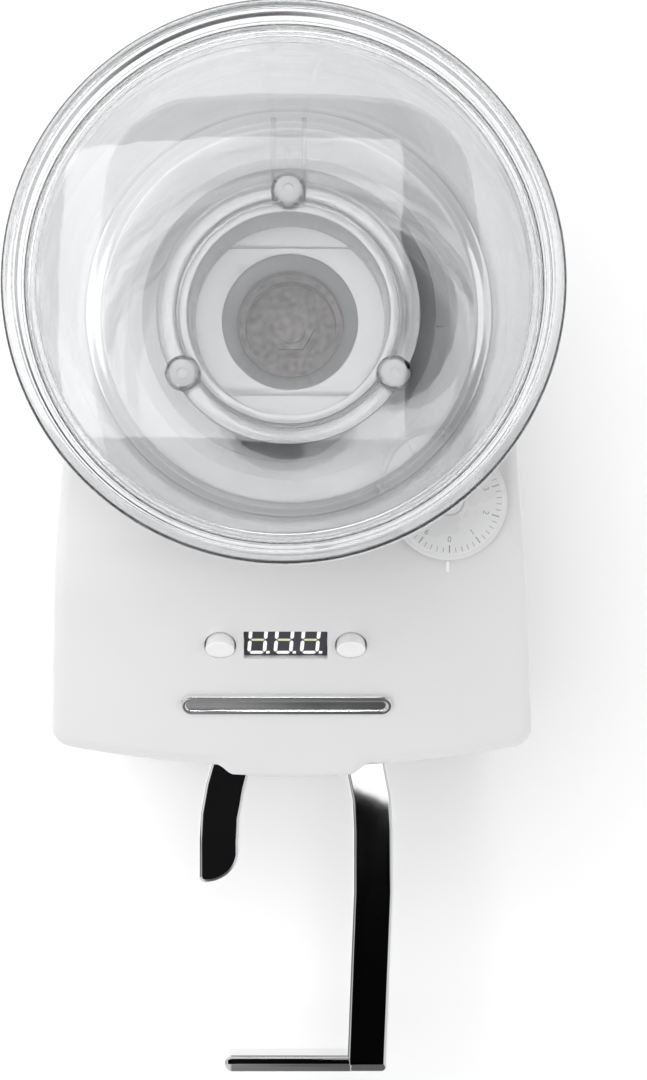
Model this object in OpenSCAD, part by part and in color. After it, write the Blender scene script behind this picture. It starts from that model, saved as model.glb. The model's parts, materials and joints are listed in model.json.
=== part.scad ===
/* [Body] */
// Height of the flat deck under the hopper
deck_z = 225; // [218:1:232]
// Underside of the head
head_z = 160; // [156:1:164]
// Front of the tower, in front of the burr axis
tower_front = 62; // [60:1:66]
// Flat back of the tower, behind the burr axis
tower_rear = 74; // [72:1:78]
// Middle of the nose of the head, in front of the burr axis
nose_y = 129; // [126:1:132]
// Slope of the front panel
panel_slope = 32; // [28:1:36]
// Wall of the cast housings
wall = 3; // [2.5:0.5:3.5]

/* [Base] */
// Front of the base, in front of the burr axis
base_front = 138; // [134:1:144]
// Back of the base, behind the burr axis
base_rear = 85; // [82:1:90]
// Top of the base
base_top = 36; // [34:1:40]
// Height of the rubber feet
foot_h = 8; // [6:1:10]

/* [Hopper] */
// Radius of the hopper rim and the lid
rim_r = 67; // [64:1:67]
// Top of the hopper rim
rim_z = 320; // [300:1:330]
// Radius of the shoulder at the bottom of the bowl
shoulder_r = 62; // [60:1:62]
// Wall of the clear hopper
hopper_wall = 2.4; // [2:0.2:3]
// Height of the lid above the rim
lid_h = 8; // [6:1:12]

/* [Burrs] */
// Diameter of the flat burrs
burr_d = 54; // [50:1:56]
// Gap between the burrs at the middle setting
burr_gap = 0.6; // [0.4:0.1:1]
// Teeth on the adjusting ring
ring_teeth = 54; // [54]
// Teeth on the dial pinion
pinion_teeth = 13; // [13]
// Module of the adjusting gears
gear_module = 2; // [2]

/* [Dial] */
// Radius of the dial skirt
dial_r = 16.5; // [15:0.5:17]
// Height of the dial above the deck
dial_h = 8.4; // [7:0.2:10]
// Direction of the dial from the burr axis
dial_dir = -48.5; // [-50:0.5:-46]

/* [Fork] */
// Furthest reach of the fork, in front of the burr axis
fork_reach = 237; // [230:1:245]
// Top face of the fork arms
fork_z = 118; // [114:1:124]
// Width of a fork arm
arm_w = 13.4; // [12:0.2:15]
// Thickness of a fork arm
arm_t = 5; // [4:0.5:6]

/* [Panel] */
// Width of the display window
window_w = 24; // [22:0.5:26]
// Height of the display window
window_h = 9.4; // [8:0.2:11]
// Spacing of the push buttons from the middle of the display
button_x = 18.8; // [18:0.2:22]
// Radius of a push button
button_r = 4.2; // [3.8:0.1:4.6]
// Width of the badge
badge_w = 62; // [50:1:64]

/* [Hidden] */

// The burr axis stands behind the middle of the whole machine
axis_y = (fork_reach - base_rear) / 2;
slack = 0.15;       // play round a screw or a fitted piece
fine = 64;          // sides of a round preview
e = 0.01;           // overlap of a cut with a face

// Plan of the head: straight back, rounded rear corners, sides that flare to the front
tangent_y = 47;     // where the rear corners meet the sides
rear_r = 27;        // rear corner radius
rear_half = 61;     // half width at the rear corners
flare = 10;         // how much wider each side is at the front
corner_r = 6;       // front corner radius
corner_y = nose_y - 12.4;
nose_r = 340;       // radius of the bowed front

function arc(cx, cy, r, a0, a1, n) =
    [for (i = [0:n]) let (a = a0 + (a1 - a0) * i / n) [cx + r * cos(a), cy + r * sin(a)]];
function mirrored(p) = [for (i = [len(p) - 2:-1:0]) [-p[i][0], p[i][1]]];
function head_half(y) =
    rear_half + flare * pow(max(0, tangent_y - y) / (tangent_y + corner_y), 1.6);
function head_side(d) = concat(
    arc(rear_half - rear_r, tower_rear - rear_r, rear_r - d, 90, 5, 8),
    [for (i = [0:12]) let (y = tangent_y - (tangent_y + corner_y) * i / 12) [head_half(y) - d, y]],
    arc(head_half(-corner_y) - corner_r, -corner_y, corner_r - d, -10, -79, 5),
    arc(0, nose_r - nose_y, nose_r - d, -79.4, -90, 6));
module head_plan(d = 0) { polygon(concat(head_side(d), mirrored(head_side(d)))); }
module tower_plan(d = 0) {
    intersection() {
        head_plan(d);
        translate([-80, -tower_front + d]) square([160, 200]);
    }
}

// Plan of the base: the same family of curves, longer and wider
base_half = 72;
base_rear_half = 66;
base_corner_y = base_front - 17;
function base_side(d) = concat(
    arc(base_rear_half - rear_r, base_rear - rear_r, rear_r - d, 90, 5, 8),
    [[base_rear_half - d, base_rear - rear_r], [base_half - d, -base_corner_y]],
    arc(base_half - 10, -base_corner_y, 10 - d, -10, -70, 5),
    arc(0, 290 - base_front, 290 - d, -77.5, -90, 6));
module base_plan(d = 0) { polygon(concat(base_side(d), mirrored(base_side(d)))); }

// Side profile of the head: flat deck, a soft fold, then the sloping panel
fold_r = 33;
fold_y = -60.5;
fold_end_y = fold_y - fold_r * sin(panel_slope);
fold_end_z = deck_z - fold_r * (1 - cos(panel_slope));
function panel_z(y) = fold_end_z - (fold_end_y - y) * tan(panel_slope);
function cowl_profile(t) = concat(
    [[tower_rear + 10, head_z - 20], [tower_rear + 10, deck_z - t]],
    arc(fold_y, deck_z - fold_r, fold_r - t, 90, 90 + panel_slope, 8),
    [[-nose_y - 10, panel_z(-nose_y - 10) - t / cos(panel_slope)],
     [-nose_y - 10, 168], [-nose_y + 9 + t, head_z], [-nose_y + 9 + t, head_z - 20]]);

cowl_t = 2.5;       // wall of the cowl
lens_z = -2.2;      // depth of the display lens below the panel

module machine() { translate([0, axis_y, 0]) children(); }
module side_extrude(half) { rotate([90, 0, 90]) translate([0, 0, -half]) linear_extrude(2 * half) children(); }
module rod(r, z0, z1) { translate([0, 0, z0]) cylinder(h = z1 - z0, r = r, $fn = fine); }
module tube(r, bore, z0, z1) {
    difference() { rod(r, z0, z1); rod(bore, z0 - 1, z1 + 1); }
}
module block(x0, x1, y0, y1, z0, z1) { translate([x0, y0, z0]) cube([x1 - x0, y1 - y0, z1 - z0]); }
module ring_of(n, r, a0 = 0) { for (i = [0:n - 1]) rotate(a0 + i * 360 / n) translate([r, 0, 0]) children(); }
// A screw: shank from z0 up to z1, with a round head on top of z1
module screw(r, z0, z1, head_r, head_h) { rod(r, z0, z1); rod(head_r, z1, z1 + head_h); }

// Local frame on the sloping panel: x across, v up the slope, from the middle of the display
panel_mid_x = -1.5;
panel_mid_y = -91.5;
panel_mid_z = panel_z(panel_mid_y);
module on_panel(x, v) {
    translate([panel_mid_x + x, panel_mid_y + v * cos(panel_slope), panel_mid_z + v * sin(panel_slope)])
        rotate([panel_slope, 0, 0]) children();
}

dial_dist = gear_module * (ring_teeth + pinion_teeth) / 2;
module at_dial() { rotate(dial_dir) translate([dial_dist, 0, 0]) rotate(-dial_dir) children(); }

// ---------------------------------------------------------------- base
tower_bolt_places = [[53, -53], [-53, -53], [53, 50], [-53, 50]];
foot_places = [[56, -112], [-56, -112], [46, 62], [-46, 62]];
base_screw_places = [[58, -30], [-58, -30], [24, -122], [-24, -122], [20, 74], [-20, 74]];
plate_t = 2;
base_z = foot_h + plate_t;

module base_casting() {
    machine() color("whitesmoke") difference() {
        translate([0, 0, base_z]) linear_extrude(base_top - base_z) base_plan(0);
        difference() {
            translate([0, 0, base_z - 1]) linear_extrude(base_top - base_z + 1 - wall) base_plan(wall);
            for (p = base_screw_places) translate([p[0], p[1], 0]) rod(5, base_z - 2, base_top);
        }
        for (p = base_screw_places) translate([p[0], p[1], 0]) rod(1.5 + slack, base_z - 1, base_z + 12);
        translate([0, 0, base_top - wall - 1]) linear_extrude(wall + 2) tower_plan(14);
        for (p = tower_bolt_places) translate([p[0], p[1], 0]) rod(2.5 + slack, base_top - 8, base_top + 1);
    }
}
module bottom_plate() {
    machine() color("silver") difference() {
        translate([0, 0, foot_h]) linear_extrude(plate_t) base_plan(1);
        for (p = base_screw_places) translate([p[0], p[1], 0]) rod(1.5 + slack, 0, base_z + 1);
        for (p = foot_places) translate([p[0], p[1], 0]) rod(3 + slack, 0, base_z + 1);
        for (i = [-4:4]) block(i * 9 - 2, i * 9 + 2, -28, 10, foot_h - 1, base_z + 1);
    }
}
module base_screws() {
    machine() color("gray") for (p = base_screw_places) translate([p[0], p[1], foot_h])
        mirror([0, 0, 1]) screw(1.5, -12, 0, 3, 2);
}
module feet() {
    machine() color("dimgray") for (p = foot_places) translate([p[0], p[1], 0]) {
        cylinder(h = foot_h, r1 = 10, r2 = 11.5, $fn = fine);
        rod(3, foot_h - e, foot_h + plate_t);
        rod(4.2, foot_h + plate_t, foot_h + plate_t + 2.5);
    }
}
module base_mat() {
    machine() color("dimgray") difference() {
        translate([0, 0, base_top]) linear_extrude(2) intersection() {
            base_plan(8);
            translate([-70, -base_front]) square([140, base_front - tower_front - 4]);
        }
        for (i = [-6:6]) block(i * 9 - 1.2, i * 9 + 1.2, -base_front + 20, -tower_front - 12, base_top + 1, base_top + 3);
    }
}

// ---------------------------------------------------------------- tower and head
vent_z = [70, 140];
module tower_housing() {
    machine() color("whitesmoke") difference() {
        translate([0, 0, base_top]) linear_extrude(head_z - 8 - base_top) tower_plan(0);
        difference() {
            translate([0, 0, base_top - 1]) linear_extrude(head_z - 6 - base_top) tower_plan(wall);
            for (p = tower_bolt_places) translate([p[0], p[1], 0]) rod(6.5, base_top - 2, head_z);
        }
        for (p = tower_bolt_places) translate([p[0], p[1], 0]) {
            rod(2.5 + slack, base_top - 1, base_top + 14);
            rod(2.5 + slack, head_z - 28, head_z);
        }
        block(-29, 29, tower_rear - 6, tower_rear + 1, vent_z[0], vent_z[1]);
        inlet_hole();
        switch_hole();
        for (p = fork_screw_places) translate([p[0], 0, p[1]]) rotate([90, 0, 0]) rod(2.5 + slack, tower_front - 8, tower_front + 1);
        translate([0, 0, start_z]) rotate([90, 0, 0]) rod(5.4, tower_front - 8, tower_front + 1);
    }
}
module head_frame() {
    machine() color("whitesmoke") difference() {
        translate([0, 0, head_z - 8]) linear_extrude(8) head_plan(0);
        rod(15 + slack, head_z - 9, head_z + 1);
        for (p = tower_bolt_places) translate([p[0], p[1], 0]) rod(2.5 + slack, head_z - 9, head_z + 1);
        ring_of(4, 47, 45) rod(2 + slack, head_z - 9, head_z + 1);
        ring_of(3, 38, 90) rod(2 + slack, head_z - 9, head_z + 1);
        block(-19, 19, -nose_y - 4, -92, head_z - 9, head_z + 1);
        for (p = cowl_screw_places) translate([p[0], p[1], 0]) rod(1.5 + slack, head_z - 9, head_z + 1);
    }
}
module frame_bolts() {
    machine() color("gray") {
        for (p = tower_bolt_places) translate([p[0], p[1], 0]) {
            screw(2.5, head_z - 24, head_z, 4.5, 4);
            translate([0, 0, base_top - wall]) mirror([0, 0, 1]) screw(2.5, -16, 0, 4.5, 4);
        }
        ring_of(3, 38, 90) screw(2, head_z - 7, 171, 3.3, 2.6);
    }
}
cowl_screw_places = [[63.5, -105], [-63.5, -105], [53, 20], [-53, 20]];
module top_cowl() {
    machine() color("whitesmoke") difference() {
        union() {
            difference() {
                intersection() {
                    translate([0, 0, head_z]) linear_extrude(deck_z - head_z + 5) head_plan(0);
                    side_extrude(90) polygon(cowl_profile(0));
                }
                intersection() {
                    translate([0, 0, head_z - 1]) linear_extrude(deck_z - head_z + 5) head_plan(cowl_t);
                    side_extrude(90) polygon(cowl_profile(cowl_t));
                }
            }
            for (p = cowl_screw_places) intersection() {
                translate([p[0], p[1], 0]) rod(6.5, head_z, head_z + 14);
                linear_extrude(head_z + 20) head_plan(1);
            }
            on_panel(0, 0) block(-14.5, 14.5, -7.2, 7.2, lens_z - 1.1, -cowl_t + 0.1);
            for (s = [-1, 1]) on_panel(s * button_x, 0) rod(button_r + 2, -6.2, -cowl_t + 0.1);
        }
        for (p = cowl_screw_places) translate([p[0], p[1], 0]) rod(1.5 + slack, head_z - 1, head_z + 11);
        rod(42, deck_z - 5, deck_z + 5);
        at_dial() rod(6 + slack, deck_z - 5, deck_z + 5);
        ring_of(3, 46, 0) rod(1.5 + slack, deck_z - 5, deck_z + 5);
        on_panel(0, 0) block(-window_w / 2, window_w / 2, -window_h / 2, window_h / 2, -7, 2);
        for (s = [-1, 1]) on_panel(s * button_x, 0) rod(button_r + 0.3, -7, 2);
        block(-19, 19, -nose_y - 6, -92, head_z - 1, 186);
    }
}
module cowl_screws() {
    machine() color("gray") for (p = cowl_screw_places) translate([p[0], p[1], head_z - 8])
        mirror([0, 0, 1]) screw(1.5, -17, 0, 3, 2);
}
module vent_grille() {
    machine() color("dimgray") difference() {
        block(-28.8, 28.8, tower_rear - 2.4, tower_rear - 0.2, vent_z[0] + 0.2, vent_z[1] - 0.2);
        for (i = [0:8]) block(-24, 24, tower_rear - 5, tower_rear + 1, vent_z[0] + 6 + i * 7, vent_z[0] + 9.5 + i * 7);
    }
}

// ---------------------------------------------------------------- fork
fork_screw_places = [[27, 103.5], [-27, 103.5], [27, 115.5], [-27, 115.5]];
left_tip_y = -174;      // tip of the short arm
bar_t = 6.2;            // thickness of the handle rest
bar_drop = 12;          // height of the handle rest
bar_end_x = -23.3;      // free end of the handle rest
left_line = [[-14, -65], [-17, -105], [-20.5, -134], [-23, -143], [-24.6, -152], [-25, -160], [-25, left_tip_y + 6.7]];
right_line = [[14, -65], [19, -105], [23.4, -136], [25.3, -146], [25.8, -156], [25.8, -177], [23.4, -fork_reach]];
function across(c, i) =
    let (d = c[min(i + 1, len(c) - 1)] - c[max(i - 1, 0)]) [-d[1], d[0]] / norm(d);
function strip(c, half) = concat(
    [for (i = [0:len(c) - 1]) c[i] + half * across(c, i)],
    [for (i = [len(c) - 1:-1:0]) c[i] - half * across(c, i)]);

module portafilter_fork() {
    machine() color("lightgray") {
        difference() {
            union() {
                translate([0, 0, fork_z - arm_t]) linear_extrude(arm_t) {
                    polygon(strip(left_line, arm_w / 2));
                    translate([-25, left_tip_y + arm_w / 2]) circle(r = arm_w / 2, $fn = fine);
                    intersection() {
                        polygon(strip(right_line, arm_w / 2));
                        translate([0, -fork_reach]) square([60, fork_reach]);
                    }
                }
                block(-34, 34, -tower_front - 5, -tower_front, 97, 122);
                block(bar_end_x + bar_t / 2, 30, -fork_reach, -fork_reach + bar_t, fork_z - bar_drop, fork_z);
                translate([bar_end_x + bar_t / 2, -fork_reach + bar_t / 2, 0]) rod(bar_t / 2, fork_z - bar_drop, fork_z);
            }
            for (p = fork_screw_places) translate([p[0], 0, p[1]]) rotate([90, 0, 0]) rod(2.5 + slack, tower_front - 1, tower_front + 6);
        }
    }
}
module fork_screws() {
    machine() color("silver") for (p = fork_screw_places) translate([p[0], 0, p[1]])
        rotate([90, 0, 0]) screw(2.5, tower_front - 7, tower_front + 5, 4.5, 3);
}
start_z = 132;          // height of the start button
start_travel = 3;
module start_button() {
    machine() color("dimgray") translate([0, 0, start_z]) rotate([90, 0, 0]) {
        rod(5.3, tower_front - 7.5, tower_front + 8);
        rod(7, tower_front - 5, tower_front - 3.6);
    }
}
module start_switch() {
    machine() color("black") block(-10, 10, -tower_front + 11, -tower_front + 18.5, start_z - 6, start_z + 6);
}

// ---------------------------------------------------------------- grinding chamber and adjustment
chamber_r = 46;
chamber_top = 203.6;
chute_half = 12.5;
module grinding_chamber() {
    machine() color("silver") difference() {
        rod(chamber_r, head_z, chamber_top);
        rod(42, 174, chamber_top + 1);
        rod(15.2, head_z - 1, 166);
        rod(8.3, 160, 175);
        ring_of(3, 38, 90) { rod(2 + slack, head_z - 1, 175); rod(3.5 + slack, 171, 175); }
        block(-10, 10, -60, -30, 174, 187);
    }
}
// Involute gear tooth, measured from the pitch circle
pressure = 25;
function inv_point(rb, t) = [rb * (cos(t) + t * PI / 180 * sin(t)), rb * (sin(t) - t * PI / 180 * cos(t))];
function turn(p, a) = [p[0] * cos(a) - p[1] * sin(a), p[0] * sin(a) + p[1] * cos(a)];
function flank(rb, r0, r1, n) = [for (i = [0:n]) let (r = r0 + (r1 - r0) * i / n)
    inv_point(rb, sqrt(max(0, pow(r / rb, 2) - 1)) * 180 / PI)];
module gear(teeth, z0, z1, bore) {
    pitch_r = gear_module * teeth / 2;
    rb = pitch_r * cos(pressure);
    root_r = pitch_r - 1.0 * gear_module;
    tip_r = pitch_r + 0.75 * gear_module;
    backlash = 0.3 / pitch_r * 180 / PI / 2;
    half = 90 / teeth - backlash / 2 + (tan(pressure) * 180 / PI - pressure);
    f = flank(rb, max(rb, root_r), tip_r, 4);
    translate([0, 0, z0]) linear_extrude(z1 - z0) difference() {
        union() {
            circle(r = root_r, $fn = 96);
            for (k = [0:teeth - 1]) rotate(k * 360 / teeth)
                polygon(concat([turn([root_r - 0.4, 0], -half)], [for (p = f) turn(p, -half)],
                               [for (i = [len(f) - 1:-1:0]) [turn(f[i], -half)[0], -turn(f[i], -half)[1]]],
                               [turn([root_r - 0.4, 0], half)]));
        }
        if (bore > 0) circle(r = bore, $fn = 96);
    }
}
module adjusting_ring() {
    machine() color("goldenrod") rotate(dial_dir) gear(ring_teeth, 204, 212, 40);
}
module dial_pinion() {
    machine() at_dial() color("silver") {
        rotate(dial_dir + 180 + 180 / pinion_teeth) gear(pinion_teeth, 202.5, 213, 0);
        rod(5, 196, 231);
    }
}
module dial_bush() {
    machine() at_dial() color("goldenrod") difference() {
        union() { rod(9, 214, deck_z - 2.6); rod(6, deck_z - 3, deck_z + 0.4); }
        rod(5.05, 210, 230);
    }
}
module grind_dial() {
    machine() at_dial() color("whitesmoke") difference() {
        union() {
            rod(dial_r, deck_z + 1, deck_z + 3.6);
            rod(dial_r - 1.1, deck_z + 3, deck_z + dial_h);
        }
        rod(5 + 0.02, deck_z, 231.02);
        rod(4, 230, deck_z + dial_h + 1);
        rod(8, deck_z, deck_z + 1.6);
    }
}
module dial_cap() {
    machine() at_dial() color("silver") rod(3.9, 231.4, deck_z + dial_h + 0.4);
}

// ---------------------------------------------------------------- burrs
burr_r = burr_d / 2;
lower_burr_top = 189.2;
upper_burr_z = lower_burr_top + burr_gap;
burr_t = 6.2;
burr_bore = 15;
burr_screw_r = 21;
burr_screw_len = 11.6;
module burr(z0, z1, face_up) {
    face = face_up ? z1 : z0;
    difference() {
        tube(burr_r, burr_bore, z0, z1);
        ring_of(3, burr_screw_r, 30) {
            rod(2 + slack, z0 - 1, z1 + 1);
            if (face_up) rod(3.8, z1 - 2.4, z1 + 1); else rod(3.8, z0 - 1, z0 + 2.4);
        }
        for (i = [0:11]) rotate(i * 30 + 15)
            block(burr_bore - 1, burr_r - 2.4, -0.8, 0.8, face - 0.8, face + 0.8);
    }
}
module lower_burr_carrier() {
    machine() color("gray") difference() {
        union() {
            rod(28, 176.5, lower_burr_top - burr_t);
            rod(12, 175, 176.6);
            ring_of(3, 0) block(27, 40, -1.6, 1.6, 176.5, 182);
        }
        rod(5.02, 170, 190);
        ring_of(3, burr_screw_r, 30) rod(2 + slack, 176, 190);
    }
}
module lower_burr() { machine() color("darkgray") burr(lower_burr_top - burr_t, lower_burr_top, true); }
module lower_burr_screws() {
    machine() color("gray") ring_of(3, burr_screw_r, 30) screw(2, 177, lower_burr_top - 2.3, 3.6, 2);
}
module arbor_nut() {
    machine() color("silver") translate([0, 0, lower_burr_top - burr_t]) difference() {
        union() { cylinder(h = 6.5, r = 8, $fn = 6); cylinder(h = 1.2, r = 9.5, $fn = fine); }
        translate([0, 0, -1]) cylinder(h = 9, r = 5.02, $fn = fine);
    }
}
carrier_z = upper_burr_z + burr_t;
module upper_burr_carrier() {
    machine() color("silver") difference() {
        rod(39.95, carrier_z, 211);
        rod(17, carrier_z - 1, 212);
        translate([0, 0, 206]) cylinder(h = 5 + e, r1 = 17, r2 = 22, $fn = fine);
        ring_of(3, burr_screw_r, 30) rod(2 + slack, carrier_z - 1, 204);
        ring_of(2, 30, 0) rod(2.5, 205, 212);
    }
}
module upper_burr() { machine() color("darkgray") burr(upper_burr_z, carrier_z, false); }
module upper_burr_screws() {
    machine() color("gray") translate([0, 0, upper_burr_z + 2.3]) mirror([0, 0, 1])
        ring_of(3, burr_screw_r, 30) screw(2, -burr_screw_len, 0, 3.6, 2);
}

// ---------------------------------------------------------------- motor
motor_bolt_r = 47;
bearing_r = 14;
shaft_r = 6;
module motor_shaft() {
    machine() color("silver") { rod(shaft_r, 59, 175); rod(5, 174, 192); }
}
module rotor_core() { machine() color("gray") tube(24, shaft_r + 0.02, 80, 130); }
module cooling_fan() {
    machine() color("dimgray") difference() {
        union() {
            rod(10, 69.5, 77);
            rod(24.6, 76, 77);
            ring_of(9, 0) rotate([0, 0, 12]) block(9, 24.4, -0.8, 0.8, 70, 76.5);
        }
        rod(shaft_r + 0.02, 60, 90);
    }
}
module stator_core() {
    machine() color("slategray") difference() {
        rod(43, 80, 130);
        rod(24.4, 79, 131);
        ring_of(24, 36) rod(1.4, 79, 131);
    }
}
module motor_windings() {
    machine() color("peru") { tube(41, 27, 68.2, 79.8); tube(41, 27, 130.2, 143); }
}
module flange_plate(z0, z1) {
    difference() {
        rod(51, z0, z1);
        ring_of(4, motor_bolt_r, 45) rod(2 + slack, z0 - 1, z1 + 1);
        ring_of(6, 35, 30) rod(5, z0 - 1, z1 + 1);
    }
}
module motor_upper_flange() {
    machine() color("silver") difference() {
        union() { flange_plate(146, 151.8); rod(18, 141, 146.1); }
        rod(bearing_r + 0.02, 142.5, 153);
        rod(8, 140, 150);
    }
}
module motor_lower_flange() {
    machine() color("silver") difference() {
        flange_plate(58, 68);
        rod(bearing_r + 0.02, 60, 69);
        rod(8, 57, 62);
    }
}
module upper_bearing() { machine() color("silver") tube(bearing_r, shaft_r + 0.03, 142.6, 151.6); }
module lower_bearing() { machine() color("silver") tube(bearing_r, shaft_r + 0.03, 60.1, 68); }
module motor_bolts() {
    machine() color("gray") ring_of(4, motor_bolt_r, 45) translate([0, 0, 58]) mirror([0, 0, 1]) screw(2, -101, 0, 3.4, 3);
}
module run_capacitor() {
    machine() color("white") translate([-30, -98, 21.5]) rotate([0, 90, 0]) cylinder(h = 60, r = 9.5, $fn = fine);
}
module power_board() {
    machine() color("seagreen") {
        block(-35, 35, -70, -10, 15, 16.6);
        block(-30, -12, -62, -48, 16.5, 28);
        block(-8, 10, -62, -48, 16.5, 28);
        block(16, 32, -60, -26, 16.5, 24);
        for (s = [-1, 1]) for (y = [-66, -14]) translate([s * 31, y, 0]) rod(2.5, base_z, 15.1);
    }
}

// ---------------------------------------------------------------- coffee path
chute_front = 97.2;
module chute() {
    machine() color("dimgray") difference() {
        block(-chute_half, chute_half, -chute_front, -30, 172, 186);
        block(-10, 10, -chute_front - 1, -29, 174, 184);
        rod(chamber_r + 0.1, 170, 190);
    }
}
module spout() {
    machine() color("whitesmoke") difference() {
        translate([0, 0, 146]) linear_extrude(39) polygon(concat(
            arc(11.5, -126, 6, 0, -90, 6), arc(-11.5, -126, 6, -90, -180, 6),
            [[-17.5, -chute_front - 0.2], [17.5, -chute_front - 0.2]]));
        block(-13, 13, -127, -101, 145, 182);
        block(-10, 10, -105, -96, 174, 184 - e);
    }
}

// ---------------------------------------------------------------- hopper
throat_r = 21.4;
clamp_screw_r = 35.6;
floor_z = 238.6;
floor_t = 2.4;
module deck_collar() {
    machine() color("silver") difference() {
        union() { rod(49.5, deck_z, deck_z + 3); rod(41.8, deck_z - 5, deck_z + 10); rod(44, deck_z + 9, deck_z + 12); }
        rod(32.7, deck_z - 6, deck_z + 13);
        ring_of(3, clamp_screw_r, 90) rod(2 + slack, deck_z, deck_z + 13);
        ring_of(3, 46, 0) rod(1.5 + slack, deck_z - 1, deck_z + 4);
        ring_of(3, 46, 0) rod(3.2, deck_z + 3, deck_z + 10);
    }
}
module collar_screws() { machine() color("gray") ring_of(3, 46, 0) screw(1.5, deck_z - 6, deck_z + 3, 2.8, 2); }
module hopper_gasket() {
    machine() color("dimgray") difference() {
        tube(44, 34, deck_z + 12, floor_z);
        ring_of(3, clamp_screw_r, 90) rod(2 + slack, deck_z + 10, floor_z + 1);
    }
}
function hopper_outer() = [[34, floor_z], [57.5, floor_z], [60.5, floor_z + 1.5], [shoulder_r, floor_z + 4.5],
    [rim_r - 2.4, rim_z - 6], [rim_r, rim_z - 5], [rim_r, rim_z]];
function hopper_inner() = [[rim_r - 2.4 - hopper_wall, rim_z], [rim_r - 2.4 - hopper_wall, rim_z - 6],
    [shoulder_r - hopper_wall, floor_z + 6], [59, floor_z + 3.4], [57, floor_z + floor_t], [34, floor_z + floor_t]];
module hopper() {
    machine() color("lightgray", 0.4) difference() {
        rotate_extrude($fn = 96) polygon(concat(hopper_outer(), hopper_inner()));
        ring_of(3, clamp_screw_r, 90) rod(2 + slack, floor_z - 1, floor_z + 4);
    }
}
clamp_z = floor_z + floor_t;
clamp_top = 249;
module hopper_clamp_ring() {
    machine() color("lightgray") difference() {
        union() {
            tube(38.7, 32.7, clamp_z, clamp_top);
            ring_of(3, clamp_screw_r, 90) rod(5.2, clamp_z, clamp_top + 0.6);
        }
        rod(32.7, clamp_z - 1, clamp_top + 3);
        ring_of(3, clamp_screw_r, 90) rod(2 + slack, clamp_z - 1, clamp_top + 3);
    }
}
module hopper_screws() {
    machine() color("silver") ring_of(3, clamp_screw_r, 90) screw(2, deck_z + 2, clamp_top + 0.6, 4.5, 2.4);
}
module throat_collar() {
    machine() color("gray") difference() {
        rod(32.5, 212.4, clamp_z + 4);
        rod(30, 217, clamp_z + 5);
        rod(throat_r, 212, 218);
        translate([0, 0, 215.5]) linear_extrude(2) intersection() {
            circle(r = 30, $fn = fine);
            square([64, 46.4], center = true);
        }
    }
}
module hopper_lid() {
    machine() color("lightgray", 0.4) rotate_extrude($fn = 96) polygon([
        [0, rim_z + 0.3], [59.8, rim_z + 0.3], [59.8, rim_z - 7], [61.8, rim_z - 7], [61.8, rim_z + 0.3],
        [rim_r, rim_z + 0.3], [rim_r, rim_z + lid_h - 1.2], [rim_r - 1.2, rim_z + lid_h],
        [rim_r - 3.4, rim_z + lid_h], [rim_r - 4.6, rim_z + 2.8], [0, rim_z + 2.8]]);
}

// ---------------------------------------------------------------- panel
board_z = -15;
button_travel = 1.2;
module control_board() {
    machine() color("seagreen") on_panel(0, 0) {
        block(-46, 46, -15, 15, board_z, board_z + 1.6);
        for (s = [-1, 1]) {
            translate([s * button_x, 0, 0]) { block(-3, 3, -3, 3, board_z + 1.5, board_z + 4.2); rod(1.7, board_z + 4, board_z + 5.4); }
            for (v = [-11, 11]) translate([s * 42, v, 0]) rod(2.5, board_z + 1.5, -2.6);
        }
    }
}
module display_module() {
    machine() color("black") on_panel(0, 0) block(-11.5, 11.5, -7, 7, board_z + 1.7, lens_z - 1.4);
}
module display_window() {
    machine() color("black") on_panel(0, 0)
        block(-window_w / 2 + 0.15, window_w / 2 - 0.15, -window_h / 2 + 0.15, window_h / 2 - 0.15, lens_z - 1.1, lens_z);
}
button_low = 0.2;       // how proud a button is at the lower side
button_high = 4.3;      // how proud it is at the upper side
module panel_button(x) {
    machine() color("whitesmoke") on_panel(x, 0) {
        difference() {
            rod(button_r, -8, button_high);
            translate([0, -button_r, button_low]) rotate([atan((button_high - button_low) / (2 * button_r)), 0, 0])
                block(-6, 6, -2, 14, 0, 8);
        }
        rod(button_r + 1.5, -8, -6.6);
    }
}
module button_left() { panel_button(-button_x); }
module button_right() { panel_button(button_x); }
module front_badge() {
    machine() color("lightgray") on_panel(0, -20.6) difference() {
        linear_extrude(1.4) {
            square([badge_w - 6.6, 6.6], center = true);
            for (s = [-1, 1]) translate([s * (badge_w - 6.6) / 2, 0]) circle(r = 3.3, $fn = fine);
        }
        block(-badge_w / 2 + 4, badge_w / 2 - 4, -1.6, 1.6, 0.7, 2);
    }
}

// ---------------------------------------------------------------- mains fittings at the back
inlet_x = -14;
module inlet_hole() { block(inlet_x - 13, inlet_x + 13, tower_rear - 6, tower_rear + 1, 39.5, 58.5); }
module power_inlet() {
    machine() color("black") {
        difference() {
            union() {
                block(inlet_x - 12.8, inlet_x + 12.8, tower_rear - 20, tower_rear + 1, 39.7, 58.3);
                block(inlet_x - 16, inlet_x + 16, tower_rear, tower_rear + 2, 38, 60);
            }
            block(inlet_x - 11, inlet_x + 11, tower_rear - 16, tower_rear + 3, 41, 57.5);
        }
        for (p = [[-5, 44.5], [5, 44.5], [0, 48.5]])
            block(inlet_x + p[0] - 1, inlet_x + p[0] + 1, tower_rear - 16.5, tower_rear - 2, p[1] - 2, p[1] + 2);
    }
}
switch_x = 17;
switch_z = 49;
rocker_y = tower_rear - 2;
module switch_hole() { block(switch_x - 8, switch_x + 8, tower_rear - 6, tower_rear + 1, switch_z - 8, switch_z + 8); }
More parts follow.
